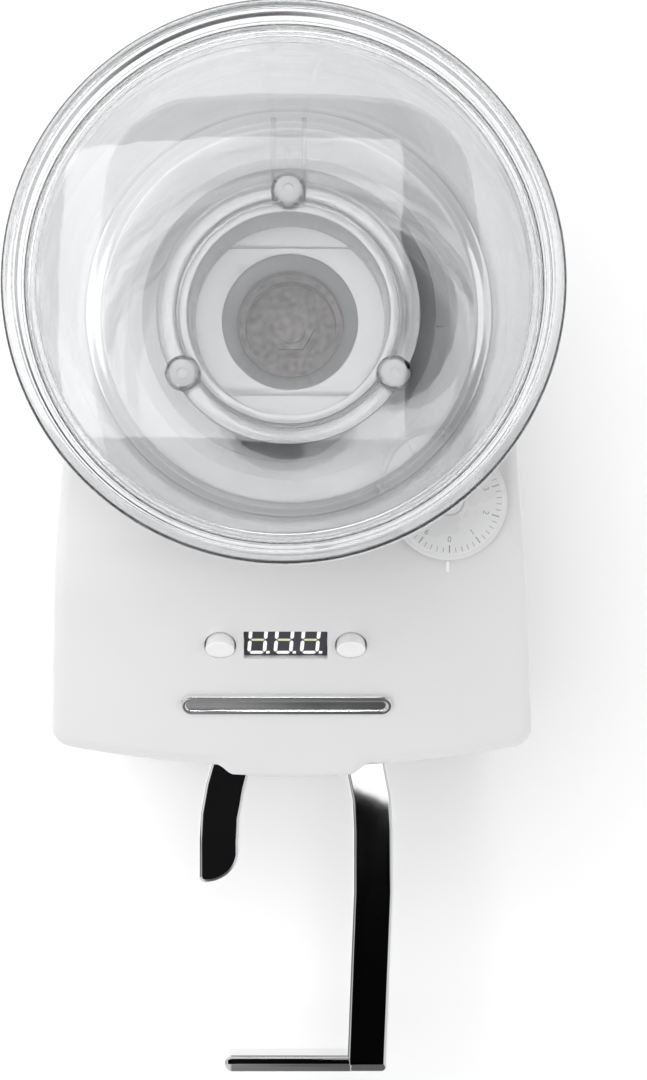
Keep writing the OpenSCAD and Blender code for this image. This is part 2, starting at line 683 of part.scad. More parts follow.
module switch_housing() {
    machine() color("black") difference() {
        union() {
            block(switch_x - 7.8, switch_x + 7.8, tower_rear - 16, tower_rear + 1, switch_z - 7.8, switch_z + 7.8);
            block(switch_x - 9.5, switch_x + 9.5, tower_rear, tower_rear + 1.5, switch_z - 9.5, switch_z + 9.5);
        }
        block(switch_x - 5.3, switch_x + 5.3, tower_rear - 10, tower_rear + 3, switch_z - 6.2, switch_z + 6.2);
    }
}
module power_rocker() {
    machine() color("black") translate([switch_x, rocker_y, switch_z]) rotate([-12, 0, 0]) intersection() {
        rotate([0, 90, 0]) translate([0, 0, -5]) cylinder(h = 10, r = 5.9, $fn = fine);
        translate([-6, 0, 0]) rotate([90, 0, 90]) linear_extrude(12)
            polygon([[-6, -6], [4.6, -6], [3.4, 0], [4.6, 6], [-6, 6]]);
    }
}

base_casting();
bottom_plate();
base_screws();
feet();
base_mat();
tower_housing();
head_frame();
frame_bolts();
top_cowl();
cowl_screws();
vent_grille();
portafilter_fork();
fork_screws();
start_button();
start_switch();
grinding_chamber();
adjusting_ring();
dial_pinion();
dial_bush();
grind_dial();
dial_cap();
upper_burr_carrier();
upper_burr();
upper_burr_screws();
lower_burr_carrier();
lower_burr();
lower_burr_screws();
arbor_nut();
motor_shaft();
rotor_core();
cooling_fan();
stator_core();
motor_windings();
motor_upper_flange();
motor_lower_flange();
upper_bearing();
lower_bearing();
motor_bolts();
run_capacitor();
power_board();
chute();
spout();
deck_collar();
collar_screws();
hopper_gasket();
hopper();
hopper_clamp_ring();
hopper_screws();
throat_collar();
hopper_lid();
control_board();
display_module();
display_window();
button_left();
button_right();
front_badge();
power_inlet();
switch_housing();
power_rocker();
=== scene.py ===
"""An on-demand espresso coffee grinder with a clear bean hopper, seen from straight above."""

import json
import math

import bmesh
import bpy
import numpy as np
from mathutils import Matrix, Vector
from mathutils.geometry import delaunay_2d_cdt


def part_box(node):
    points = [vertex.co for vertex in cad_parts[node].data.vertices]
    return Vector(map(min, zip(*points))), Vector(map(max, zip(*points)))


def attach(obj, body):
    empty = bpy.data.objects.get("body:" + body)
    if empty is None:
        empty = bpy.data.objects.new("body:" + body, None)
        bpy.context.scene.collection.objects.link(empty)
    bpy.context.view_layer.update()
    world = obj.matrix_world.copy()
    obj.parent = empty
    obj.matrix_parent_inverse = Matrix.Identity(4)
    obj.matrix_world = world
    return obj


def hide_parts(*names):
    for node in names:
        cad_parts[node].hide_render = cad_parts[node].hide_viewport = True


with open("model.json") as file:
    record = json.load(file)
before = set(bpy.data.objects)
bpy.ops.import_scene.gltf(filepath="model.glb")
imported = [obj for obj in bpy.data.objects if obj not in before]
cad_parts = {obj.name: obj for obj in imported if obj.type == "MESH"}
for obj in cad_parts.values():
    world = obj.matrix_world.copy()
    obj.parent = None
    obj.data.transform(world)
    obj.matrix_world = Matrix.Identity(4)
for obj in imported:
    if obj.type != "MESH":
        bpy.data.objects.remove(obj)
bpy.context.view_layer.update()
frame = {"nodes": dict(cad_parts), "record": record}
scene = bpy.context.scene

# ---------------------------------------------------------------- the studio
# A pale table under a large soft lamp and a ring of light with three darker gaps. Straight above
# it stays dark, so flat chrome facing the camera mirrors black while its edges catch the ring.
# The ring shows half as bright in mirrors, and plain where the camera sees it directly.

burr_axis_y = (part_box("hopper")[0].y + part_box("hopper")[1].y) / 2
camera_rise, camera_x, camera_y = 0.540, 0.0094, -0.0611
camera_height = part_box("hopper")[1].z + camera_rise
camera_data = bpy.data.cameras.new("camera")
camera_data.lens = 75.2
camera_data.sensor_width = 36
camera = bpy.data.objects.new("camera", camera_data)
camera.location = (camera_x, burr_axis_y + camera_y, camera_height)
scene.collection.objects.link(camera)
scene.camera = camera
scene.view_settings.view_transform = "Standard"


def nodes_of(material):
    """The node tree of a material that starts with one Principled shader on its output."""
    material.use_nodes = True
    tree = material.node_tree
    tree.nodes.clear()
    out = tree.nodes.new("ShaderNodeOutputMaterial")
    shader = tree.nodes.new("ShaderNodeBsdfPrincipled")
    tree.links.new(shader.outputs["BSDF"], out.inputs["Surface"])
    return tree, shader


def math_node(tree, operation, *values):
    """The output of a math node whose inputs are linked from sockets or set to numbers."""
    node = tree.nodes.new("ShaderNodeMath")
    node.operation = operation
    for slot, value in zip(node.inputs, values):
        if isinstance(value, bpy.types.NodeSocket):
            tree.links.new(value, slot)
        else:
            slot.default_value = value
    return node.outputs[0]


def range_node(tree, value, taken, given):
    """The output of a node that carries a value from the range taken onto the range given."""
    node = tree.nodes.new("ShaderNodeMapRange")
    node.inputs["From Min"].default_value, node.inputs["From Max"].default_value = taken
    node.inputs["To Min"].default_value, node.inputs["To Max"].default_value = given
    tree.links.new(value, node.inputs["Value"])
    return node.outputs["Result"]


def add_softbox(name, size, power, place, aim):
    """A rectangular lamp of that size at place, turned to face aim."""
    lamp = bpy.data.lights.new(name, "AREA")
    lamp.shape = "RECTANGLE"
    lamp.size, lamp.size_y = size
    lamp.energy = power
    box = bpy.data.objects.new(name, lamp)
    box.location = place
    box.rotation_euler = (Vector(aim) - Vector(place)).to_track_quat("-Z", "Y").to_euler()
    scene.collection.objects.link(box)
    return box


key = add_softbox("key_overhead", (0.74, 0.64), 8.6, (-0.14, 0.2, 1.4), (-0.14, 0.2, 0))
key.visible_glossy = False
front_card = add_softbox("front_card", (0.32, 0.17), 0.22, (0.18, -0.172, 1.4), (0.18, -0.172, 0))
front_card.rotation_euler.z = math.radians(-20.6)
add_softbox("window_left", (0.9, 1.2), 2.2, (-1.05, 0.25, 0.85), (0, 0, 0.1))
add_softbox("back_box", (1.1, 0.5), 3.2, (-0.1, 1.25, 0.8), (0, 0, 0.1))

world = bpy.data.worlds.new("studio")
scene.world = world
world.use_nodes = True
sky = world.node_tree
direction = sky.nodes.new("ShaderNodeTexCoord")
split = sky.nodes.new("ShaderNodeSeparateXYZ")
sky.links.new(direction.outputs["Generated"], split.inputs[0])
ramp = sky.nodes.new("ShaderNodeValToRGB")
ramp.color_ramp.elements[0].color = (0.9, 0.9, 0.905, 1)
ramp.color_ramp.elements[1].position = 0.955
ramp.color_ramp.elements[1].color = (0.011, 0.011, 0.012, 1)
ring_end = ramp.color_ramp.elements.new(0.905)
ring_end.color = (0.85, 0.85, 0.86, 1)
sky.links.new(split.outputs["Z"], ramp.inputs[0])
heading = math_node(sky, "ARCTAN2", split.outputs["Y"], split.outputs["X"])
wave = math_node(sky, "COSINE", math_node(sky, "MULTIPLY_ADD", heading, 3, 0.6))
gaps = range_node(sky, wave, (-0.6, 0.3), (0.18, 1.0))
ray_kind = sky.nodes.new("ShaderNodeLightPath")
dimmed = math_node(sky, "MULTIPLY_ADD", ray_kind.outputs["Is Glossy Ray"], -0.5, 1.0)
share = math_node(sky, "MULTIPLY", gaps, dimmed)
lit = sky.nodes.new("ShaderNodeVectorMath")
lit.operation = "SCALE"
sky.links.new(ramp.outputs["Color"], lit.inputs[0])
sky.links.new(math_node(sky, "MAXIMUM", share, ray_kind.outputs["Is Camera Ray"]), lit.inputs["Scale"])
sky.links.new(lit.outputs[0], sky.nodes["Background"].inputs["Color"])
sky.nodes["Background"].inputs["Strength"].default_value = 1.55

table_half = 3.0
table_corners = [(x * table_half, y * table_half, 0) for x, y in [(-1, -1), (1, -1), (1, 1), (-1, 1)]]
table_mesh = bpy.data.meshes.new("table")
table_mesh.from_pydata(table_corners, [], [(0, 1, 2, 3)])
table = bpy.data.objects.new("table", table_mesh)
scene.collection.objects.link(table)
table_paper = bpy.data.materials.new("table_paper")
tree, shader = nodes_of(table_paper)
fibre = tree.nodes.new("ShaderNodeTexNoise")
fibre.inputs["Scale"].default_value = 60
tint = tree.nodes.new("ShaderNodeMixRGB")
tint.inputs["Color1"].default_value = (0.93, 0.93, 0.93, 1)
tint.inputs["Color2"].default_value = (0.95, 0.95, 0.95, 1)
tree.links.new(fibre.outputs["Fac"], tint.inputs["Fac"])
tree.links.new(tint.outputs["Color"], shader.inputs["Base Color"])
shader.inputs["Roughness"].default_value = 0.9
shader.inputs["Specular IOR Level"].default_value = 0.1
table_mesh.materials.append(table_paper)


# ---------------------------------------------------------------- feet
# Four soft rubber feet with a moulded skirt ring. A nipple under each pops through the steel
# bottom plate and holds the foot there.

FEET = [(56, -112), (-56, -112), (46, 62), (-46, 62)]
foot_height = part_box("bottom_plate")[0].z * 1000


def grid_faces(rows, columns, wrap_rows=False, wrap_columns=True):
    """Quads between neighbours of a rows by columns grid of points, joined end to end where it wraps."""
    index = np.arange(rows * columns).reshape(rows, columns)
    down = np.roll(index, -1, axis=0)
    right = np.roll(index, -1, axis=1)
    diagonal = np.roll(down, -1, axis=1)
    quads = np.stack([index, right, diagonal, down], axis=-1)
    quads = quads if wrap_rows else quads[:-1]
    quads = quads if wrap_columns else quads[:, :-1]
    return quads.reshape(-1, 4).tolist()


def rounded(corners, radii, steps=5):
    """A closed outline whose corners are arcs.

    The arc of radius r at a corner touches both sides at a distance r / tan(half the corner's angle).
    """
    corners = np.asarray(corners, float)
    radii = np.broadcast_to(np.asarray(radii, float), len(corners))
    outline = []
    for corner, before, after, radius in zip(corners, np.roll(corners, 1, 0), np.roll(corners, -1, 0), radii):
        if radius == 0:
            outline.append(corner[None])
            continue
        back = (before - corner) / np.linalg.norm(before - corner)
        ahead = (after - corner) / np.linalg.norm(after - corner)
        half = math.acos(np.clip(back @ ahead, -1, 1)) / 2
        middle = (back + ahead) / np.linalg.norm(back + ahead)
        centre = corner + middle * radius / math.sin(half)
        first = corner + back * radius / math.tan(half) - centre
        last = corner + ahead * radius / math.tan(half) - centre
        swing = math.pi - 2 * half
        t = np.linspace(0, 1, steps + 1)[:, None]
        turned = (np.sin((1 - t) * swing) * first + np.sin(t * swing) * last) / math.sin(swing)
        outline.append(centre + turned)
    return np.concatenate(outline)


def revolve(profile, turns=96, centre=(0, 0), closed=True):
    """A profile of (r, z) turned about an upright axis: point = centre + (r cos a, r sin a, z)."""
    profile = np.asarray(profile, float)
    angle = np.linspace(0, 2 * math.pi, turns, endpoint=False)
    r, z = profile[:, 0, None], profile[:, 1, None]
    points = np.stack([centre[0] + r * np.cos(angle), centre[1] + r * np.sin(angle), z + 0 * angle], axis=-1)
    return points.reshape(-1, 3), grid_faces(len(profile), turns, wrap_rows=closed)


def together(parts):
    """Several meshes as one: each one's faces are counted on from the points before it."""
    starts = np.cumsum([0] + [len(points) for points, _ in parts])
    faces = []
    for (_, mesh), start in zip(parts, starts):
        faces += [[corner + int(start) for corner in face] for face in mesh]
    return np.concatenate([points for points, _ in parts]), faces


def add_piece(name, shape, material, body, stands_for=(), sharp=35):
    """A piece from points in millimetres about the burr axis, with creases kept sharp above an angle."""
    points, faces = shape
    mesh = bpy.data.meshes.new(name)
    mesh.from_pydata((np.asarray(points) / 1000 + [0, burr_axis_y, 0]).tolist(), [], faces)
    solid = bmesh.new()
    solid.from_mesh(mesh)
    bmesh.ops.remove_doubles(solid, verts=solid.verts, dist=2e-6)
    bmesh.ops.dissolve_degenerate(solid, edges=solid.edges, dist=1e-6)
    bmesh.ops.recalc_face_normals(solid, faces=solid.faces)
    solid.to_mesh(mesh)
    solid.free()
    mesh.shade_smooth()
    mesh.set_sharp_from_angle(angle=math.radians(sharp))
    mesh.materials.append(material)
    piece = bpy.data.objects.new(name, mesh)
    scene.collection.objects.link(piece)
    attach(piece, body)
    if stands_for:
        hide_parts(*stands_for)
    return piece


def new_group(name, inputs, outputs):
    """An empty shader node group with named sockets, and its two end nodes."""
    group = bpy.data.node_groups.new(name, "ShaderNodeTree")
    for label, kind, value in inputs:
        socket = group.interface.new_socket(name=label, in_out="INPUT", socket_type=kind)
        socket.default_value = value
    for label, kind in outputs:
        group.interface.new_socket(name=label, in_out="OUTPUT", socket_type=kind)
    return group, group.nodes.new("NodeGroupInput"), group.nodes.new("NodeGroupOutput")


# Skin: the fine bumps, slow tone changes and stray dust that any moulded or coated part has.
skin, skin_in, skin_out = new_group(
    "skin",
    [("Grain", "NodeSocketFloat", 900.0), ("Patch", "NodeSocketFloat", 18.0),
     ("Dust", "NodeSocketFloat", 0.5)],
    [("Height", "NodeSocketFloat"), ("Tone", "NodeSocketFloat"), ("Dust", "NodeSocketFloat")])
place = skin.nodes.new("ShaderNodeTexCoord")
grain = skin.nodes.new("ShaderNodeTexNoise")
grain.inputs["Detail"].default_value = 3
patch = skin.nodes.new("ShaderNodeTexNoise")
patch.inputs["Detail"].default_value = 4
specks = skin.nodes.new("ShaderNodeTexNoise")
specks.inputs["Scale"].default_value = 1400
specks.inputs["Detail"].default_value = 2
settled = math_node(skin, "MULTIPLY_ADD", specks.outputs["Fac"], 3.0, -1.9)
settled.node.use_clamp = True
for noise in (grain, patch, specks):
    skin.links.new(place.outputs["Object"], noise.inputs["Vector"])
skin.links.new(skin_in.outputs["Grain"], grain.inputs["Scale"])
skin.links.new(skin_in.outputs["Patch"], patch.inputs["Scale"])
skin.links.new(grain.outputs["Fac"], skin_out.inputs["Height"])
skin.links.new(patch.outputs["Fac"], skin_out.inputs["Tone"])
skin.links.new(math_node(skin, "MULTIPLY", settled, skin_in.outputs["Dust"]), skin_out.inputs["Dust"])


def skinned(name, grain, patch, dust, rough, taken, strength, depth):
    """A new material whose skin already roughens and dents it: its tree, its shader and the skin's node."""
    material = bpy.data.materials.new(name)
    tree, shader = nodes_of(material)
    coat = tree.nodes.new("ShaderNodeGroup")
    coat.node_tree = skin
    coat.inputs["Grain"].default_value = grain
    coat.inputs["Patch"].default_value = patch
    coat.inputs["Dust"].default_value = dust
    bump = tree.nodes.new("ShaderNodeBump")
    bump.inputs["Strength"].default_value = strength
    bump.inputs["Distance"].default_value = depth
    tree.links.new(coat.outputs["Height"], bump.inputs["Height"])
    tree.links.new(bump.outputs["Normal"], shader.inputs["Normal"])
    tree.links.new(range_node(tree, coat.outputs["Tone"], taken, rough), shader.inputs["Roughness"])
    return material, tree, shader, coat


def finish_of(name, dark, light, rough, grain=900, patch=18, depth=0.00002, dust=0.3, metallic=0.0, **plain):
    """A material whose colour and roughness drift between two values, with the skin's grain."""
    material, tree, shader, coat = skinned(name, grain, patch, dust, rough, (0.3, 0.7), 0.6, depth)
    tone = tree.nodes.new("ShaderNodeValToRGB")
    tone.color_ramp.elements[0].position = 0.35
    tone.color_ramp.elements[0].color = (*dark, 1)
    tone.color_ramp.elements[1].position = 0.65
    tone.color_ramp.elements[1].color = (*light, 1)
    dusty = tree.nodes.new("ShaderNodeMixRGB")
    dusty.inputs["Color2"].default_value = (0.6, 0.58, 0.55, 1)
    tree.links.new(coat.outputs["Tone"], tone.inputs["Fac"])
    tree.links.new(tone.outputs["Color"], dusty.inputs["Color1"])
    tree.links.new(coat.outputs["Dust"], dusty.inputs["Fac"])
    tree.links.new(dusty.outputs["Color"], shader.inputs["Base Color"])
    shader.inputs["Metallic"].default_value = metallic
    for socket, value in plain.items():
        shader.inputs[socket.replace("_", " ")].default_value = value
    return material


rubber = finish_of("soft_rubber", (0.018, 0.018, 0.019), (0.035, 0.035, 0.036), (0.7, 0.85),
                   grain=2600, depth=0.00006, dust=0.5)
foot_profile = rounded([(0, 0), (9.6, 0), (10.2, 1.6), (11.4, foot_height - 1), (11.4, foot_height),
                        (0, foot_height)], [0, 1.2, 0.6, 0.6, 0.2, 0])
nipple = rounded([(0, foot_height - 0.2), (2.9, foot_height - 0.2), (2.9, foot_height + 2.1),
                  (4.1, foot_height + 2.3), (2.6, foot_height + 4.4), (0, foot_height + 4.4)],
                 [0, 0, 0, 0.6, 0.8, 0])
feet = [revolve(part, 48, place) for place in FEET for part in (foot_profile, nipple)]
add_piece("rubber_feet", together(feet), rubber, "root", ["feet"])


# ---------------------------------------------------------------- base
# One die-cast aluminium tray, open underneath, with a generous radius round its top edge, and
# coated in gloss white powder. A pressed steel plate closes it, held by six pan-head screws.

BASE_REAR, BASE_FRONT = 85, 138
BASE_REAR_HALF, BASE_HALF = 66, 72
base_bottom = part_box("base_casting")[0].z * 1000
base_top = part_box("base_casting")[1].z * 1000
base_edge = 5.0


def arc(cx, cy, r, start, end, steps):
    """Points on a circle: centre + r (cos a, sin a), with a from start to end in degrees."""
    a = np.radians(np.linspace(start, end, steps + 1))
    return np.stack([cx + r * np.cos(a), cy + r * np.sin(a)], axis=-1)


def both_sides(right):
    """A closed outline from its right half, mirrored in x, without the point on the centre line twice."""
    left = right[::-1] * [-1, 1]
    return np.concatenate([right, left[np.abs(left[:, 0]) > 1e-6]])


def inward(outline):
    """The direction into a clockwise outline at each point, stretched so that its sides stay parallel."""
    ahead = np.roll(outline, -1, 0) - outline
    ahead /= np.linalg.norm(ahead, axis=1, keepdims=True)
    behind = np.roll(ahead, 1, 0)
    normal = np.stack([ahead[:, 1] + behind[:, 1], -ahead[:, 0] - behind[:, 0]], axis=-1) / 2
    return normal / np.maximum(np.sum(normal ** 2, axis=1, keepdims=True), 0.3)


def slab(outline, levels):
    """A clockwise outline carried up through (inset, z) levels, with a flat cap at both ends."""
    normal = inward(outline)
    rings = [np.column_stack([outline + inset * normal, np.full(len(outline), z)]) for inset, z in levels]
    count = len(outline)
    top = (len(levels) - 1) * count
    faces = grid_faces(len(levels), count)
    return np.concatenate(rings), faces + [list(range(count)), list(range(top, top + count))[::-1]]


def roll_over(z, inset, steps=6):
    """(inset, z) levels of a quarter-round top edge that ends at z."""
    a = np.radians(np.linspace(0, 90, steps + 1))
    return list(zip(inset * (1 - np.cos(a)), z - inset * (1 - np.sin(a))))


def softened(name, node, width, material, segments=2, limit=35):
    """A copy of a CAD node, its triangles merged into flat faces and its edges rounded by a bevel."""
    mesh = frame["nodes"][node].data.copy()
    solid = bmesh.new()
    solid.from_mesh(mesh)
    bmesh.ops.remove_doubles(solid, verts=solid.verts, dist=2e-6)
    bmesh.ops.dissolve_limit(solid, angle_limit=math.radians(0.6), verts=solid.verts, edges=solid.edges)
    solid.to_mesh(mesh)
    solid.free()
    mesh.materials.clear()
    mesh.materials.append(material)
    mesh.shade_smooth()
    piece = bpy.data.objects.new(name, mesh)
    scene.collection.objects.link(piece)
    edge = piece.modifiers.new("edge", "BEVEL")
    edge.width = width / 1000
    edge.segments = segments
    edge.limit_method = "ANGLE"
    edge.angle_limit = math.radians(limit)
    edge.harden_normals = True
    bodies = frame["record"]["behaviour"]["bodies"]
    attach(piece, next(body for body, members in bodies.items() if node in members))
    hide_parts(node)
    return piece


def dress(nodes, material):
    """CAD nodes whose shape is already right take a material as they are."""
    for node in nodes:
        frame["nodes"][node].data.materials.clear()
        frame["nodes"][node].data.materials.append(material)


white_powder = finish_of("white_powder_coat", (0.69, 0.69, 0.692), (0.72, 0.72, 0.722), (0.28, 0.36),
                         grain=420, patch=9, depth=0.000035, dust=0.03, Coat_Weight=0.35, Coat_Roughness=0.12)
plate_steel = finish_of("pressed_steel", (0.45, 0.45, 0.46), (0.6, 0.6, 0.61), (0.28, 0.42), grain=1500,
                        patch=40, depth=0.00001, dust=0.1, metallic=1.0)
screw_steel = finish_of("zinc_screws", (0.5, 0.5, 0.5), (0.68, 0.68, 0.67), (0.2, 0.35), grain=2400,
                        patch=120, depth=0.00001, dust=0.05, metallic=1.0)
base_outline = both_sides(np.concatenate([
    arc(BASE_REAR_HALF - 27, BASE_REAR - 27, 27, 90, 2, 16),
    [[BASE_REAR_HALF, BASE_REAR - 30], [BASE_HALF, 20 - BASE_FRONT]],
    arc(BASE_HALF - 10, 17 - BASE_FRONT, 10, -3, -72, 10),
    arc(0, 290 - BASE_FRONT, 290, -78, -90, 10)]))
base_levels = [(1.0, base_bottom), (0, base_bottom + 1)] + roll_over(base_top, base_edge)
add_piece("base_shell", slab(base_outline, base_levels), white_powder, "root",
          ["base_casting"], sharp=25)
softened("closing_plate", "bottom_plate", 0.3, plate_steel)
dress(["base_screws", "frame_bolts", "cowl_screws"], screw_steel)

# ---------------------------------------------------------------- mat
# A ribbed rubber mat lies in front of the tower, where cups and a portafilter's spouts stand.

softened("cup_mat", "base_mat", 0.35, rubber)

# ---------------------------------------------------------------- tower, head frame and grille
# The tower is a cast box section bolted to the base. The head frame closes it, carries the
# grinding chamber, and hangs the motor. A louvred plastic grille fills the window at the back.

black_moulding = finish_of("black_moulding", (0.012, 0.012, 0.013), (0.022, 0.022, 0.024), (0.42, 0.55),
                           grain=3200, patch=30, depth=0.00003, dust=0.12)
softened("tower_shell", "tower_housing", 1.2, white_powder, segments=3)
softened("head_tray", "head_frame", 1.0, white_powder, segments=3)
softened("rear_grille", "vent_grille", 0.4, black_moulding)

# ---------------------------------------------------------------- mains fittings
# A three-pin appliance inlet and a rocker switch snap into the back of the tower from outside.

softened("inlet_shell", "power_inlet", 0.4, black_moulding)
softened("switch_frame", "switch_housing", 0.4, black_moulding)
softened("switch_rocker", "power_rocker", 0.4, black_moulding)

# ---------------------------------------------------------------- motor
# An induction motor hangs under the head frame: laminated stator, two wound coil ends, a rotor
# on a ground shaft with a fan, and two ball bearings in cast flanges clamped by four long bolts.

laminations = finish_of("stator_laminations", (0.2, 0.21, 0.23), (0.34, 0.35, 0.37), (0.4, 0.55), grain=1800,
                        patch=60, depth=0.00003, dust=0.1, metallic=0.8)
cast_aluminium = finish_of("cast_aluminium", (0.52, 0.53, 0.54), (0.66, 0.67, 0.68), (0.35, 0.5), grain=1100,
                           patch=30, depth=0.00005, dust=0.1, metallic=1.0)
ground_steel = finish_of("ground_steel", (0.5, 0.5, 0.52), (0.62, 0.62, 0.64), (0.16, 0.28), grain=3600,
                         patch=80, depth=0.000008, dust=0.05, metallic=1.0)
coil_copper = finish_of("enamelled_copper", (0.42, 0.16, 0.06), (0.62, 0.27, 0.11), (0.25, 0.4), grain=2600,
                        patch=200, depth=0.0001, dust=0.1, metallic=0.7)
dress(["stator_core", "rotor_core"], laminations)
dress(["motor_windings"], coil_copper)
dress(["motor_upper_flange", "motor_lower_flange"], cast_aluminium)
dress(["upper_bearing", "lower_bearing", "motor_bolts"], ground_steel)
dress(["cooling_fan"], black_moulding)

# ---------------------------------------------------------------- boards and capacitor
# The power board and the motor's run capacitor sit in the base, and the timer board hangs on
# four posts behind the sloping panel, with the start switch behind the fork.

solder_mask = finish_of("solder_mask", (0.01, 0.08, 0.035), (0.018, 0.12, 0.055), (0.25, 0.38), grain=1800,
                        patch=90, depth=0.00002, dust=0.1)
can_grey = finish_of("capacitor_can", (0.6, 0.6, 0.59), (0.7, 0.7, 0.69), (0.3, 0.4), grain=900,
                     patch=50, dust=0.1)
dress(["power_board", "control_board"], solder_mask)
dress(["run_capacitor"], can_grey)
dress(["display_module", "start_switch"], black_moulding)

# ---------------------------------------------------------------- chamber, burrs and adjustment
# The cast chamber holds two 54 mm hardened burrs. The lower one turns on the motor's shaft, and
# the upper one hangs in a carrier that a brass ring gear screws up and down.

turned_brass = finish_of("turned_brass", (0.5, 0.34, 0.12), (0.66, 0.47, 0.19), (0.2, 0.32), grain=3000,
                         patch=60, depth=0.00001, dust=0.05, metallic=1.0)
dusty_steel = finish_of("burr_steel_with_coffee_dust", (0.2, 0.18, 0.18), (0.4, 0.365, 0.36), (0.55, 0.75),
                        grain=2600, patch=420, depth=0.00006, dust=0.5, metallic=0.25)
dress(["grinding_chamber"], cast_aluminium)
dress(["adjusting_ring", "dial_bush"], turned_brass)
dress(["dial_pinion"], ground_steel)
dress(["upper_burr", "lower_burr", "lower_burr_carrier", "arbor_nut", "motor_shaft", "upper_burr_screws",
       "lower_burr_screws"], dusty_steel)
softened("burr_holder", "upper_burr_carrier", 0.4, cast_aluminium)

# ---------------------------------------------------------------- chute and spout
# Ground coffee leaves the chamber through a square chute and drops out of a white spout whose
# rounded nose shows just below the panel's lower edge.

white_moulding = finish_of("white_moulding", (0.70, 0.70, 0.702), (0.73, 0.73, 0.732), (0.2, 0.28), grain=700,
                           patch=14, depth=0.00001, dust=0.03, Coat_Weight=0.3, Coat_Roughness=0.1)
dress(["chute"], black_moulding)
softened("coffee_spout", "spout", 1.0, white_moulding, segments=3)

# ---------------------------------------------------------------- cowl
# One painted casting makes the flat deck, the soft fold and the sloping panel. Its sides flare
# towards the front and its nose is bowed. Screws from below pull it down onto the head frame.

DECK_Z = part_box("deck_collar")[1].z * 1000 - 12
HEAD_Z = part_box("head_frame")[1].z * 1000
PANEL_SLOPE = math.radians(32)
FOLD_R, FOLD_Y = 33.0, -60.5
TOWER_REAR, NOSE_Y, NOSE_R = 74.0, 129.0, 340.0
PANEL_MID_X, PANEL_MID_Y = -1.5, -91.5
FRONT_CORNER_Y, CORNER_R = 12.4 - NOSE_Y, 6
LIP_HALF_X = 18.6
cowl_wall, lip_wall_share = 2.4, 0.25
chin_reach = 2.6
cowl_edge, lip_edge = 3.6, 1.2
fold_end_y = FOLD_Y - FOLD_R * math.sin(PANEL_SLOPE)
fold_end_z = DECK_Z - FOLD_R * (1 - math.cos(PANEL_SLOPE))
panel_mid_z = fold_end_z - (fold_end_y - PANEL_MID_Y) * math.tan(PANEL_SLOPE)


def head_half(y):
    """Half the head's width: 61 mm at the rear, and 10 (way forward) ** 1.6 mm more further on."""
    return 61 + 10 * (np.maximum(0, 47 - y) / (47 - FRONT_CORNER_Y)) ** 1.6


def head_plan():
    """The clockwise plan: rear flat and corners, flaring sides, front corners, bowed nose and chin."""
    side_y = np.linspace(46, FRONT_CORNER_Y + 0.6, 60)
    corner_x = head_half(FRONT_CORNER_Y) - CORNER_R
    right = np.concatenate([
        np.column_stack([np.linspace(0, 33, 16), np.full(16, TOWER_REAR)]),
        arc(34, TOWER_REAR - 27, 27, 90, 3, 44),
        np.column_stack([head_half(side_y), side_y]),
        arc(corner_x, FRONT_CORNER_Y, CORNER_R, -6, -78, 18),
        arc(0, NOSE_R - NOSE_Y, NOSE_R, -79.5, -90, 70)])
    right[:, 1] -= chin_reach * chin_share(right)
    return both_sides(right)


def chin_share(points):
    """How far each nose point belongs to the chin: 1 within 17.5 mm of the middle, 0 beyond 22.5."""
    t = np.clip((22.5 - np.abs(points[:, 0])) / 5, 0, 1) * (points[:, 1] < -110)
    return t * t * (3 - 2 * t)


def top_z(y):
    """Height of the skin: level deck, then an arc of radius 33 mm, then the 32 degree slope."""
    y = np.asarray(y, float)
    along = np.clip((FOLD_Y - y) / FOLD_R, 0, math.sin(PANEL_SLOPE))
    bend = DECK_Z - FOLD_R * (1 - np.sqrt(1 - along ** 2))
    return np.where(y > fold_end_y, bend, fold_end_z - (fold_end_y - y) * math.tan(PANEL_SLOPE))


def on_panel(local):
    """Panel points (x, v up the slope, n out of it) placed about the display's centre."""
    x, v, n = np.asarray(local, float).T
    c, s = math.cos(PANEL_SLOPE), math.sin(PANEL_SLOPE)
    return np.stack([PANEL_MID_X + x, PANEL_MID_Y + v * c - n * s, panel_mid_z + v * s + n * c], axis=-1)


def circle(cx, cy, r, count):
    """A ring of points, turning clockwise."""
    a = np.linspace(0, -2 * math.pi, count, endpoint=False)
    return np.column_stack([cx + r * np.cos(a), cy + r * np.sin(a)])


def box_outline(half_x, half_v, r):
    """A clockwise rounded rectangle about the origin."""
    return rounded([(-half_x, half_v), (half_x, half_v), (half_x, -half_v), (-half_x, -half_v)], r, 4)


def inside(points, loop):
    """Whether each point lies in a loop: a ray to the right crosses its sides an odd number of times."""
    a, b = loop[None], np.roll(loop, -1, 0)[None]
    px, py = points[:, 0, None], points[:, 1, None]
    straddles = (a[..., 1] > py) != (b[..., 1] > py)
    rise = np.where(b[..., 1] == a[..., 1], 1e-12, b[..., 1] - a[..., 1])
    crossing = a[..., 0] + (py - a[..., 1]) * (b[..., 0] - a[..., 0]) / rise
    return (straddles & (px < crossing)).sum(1) % 2 == 1


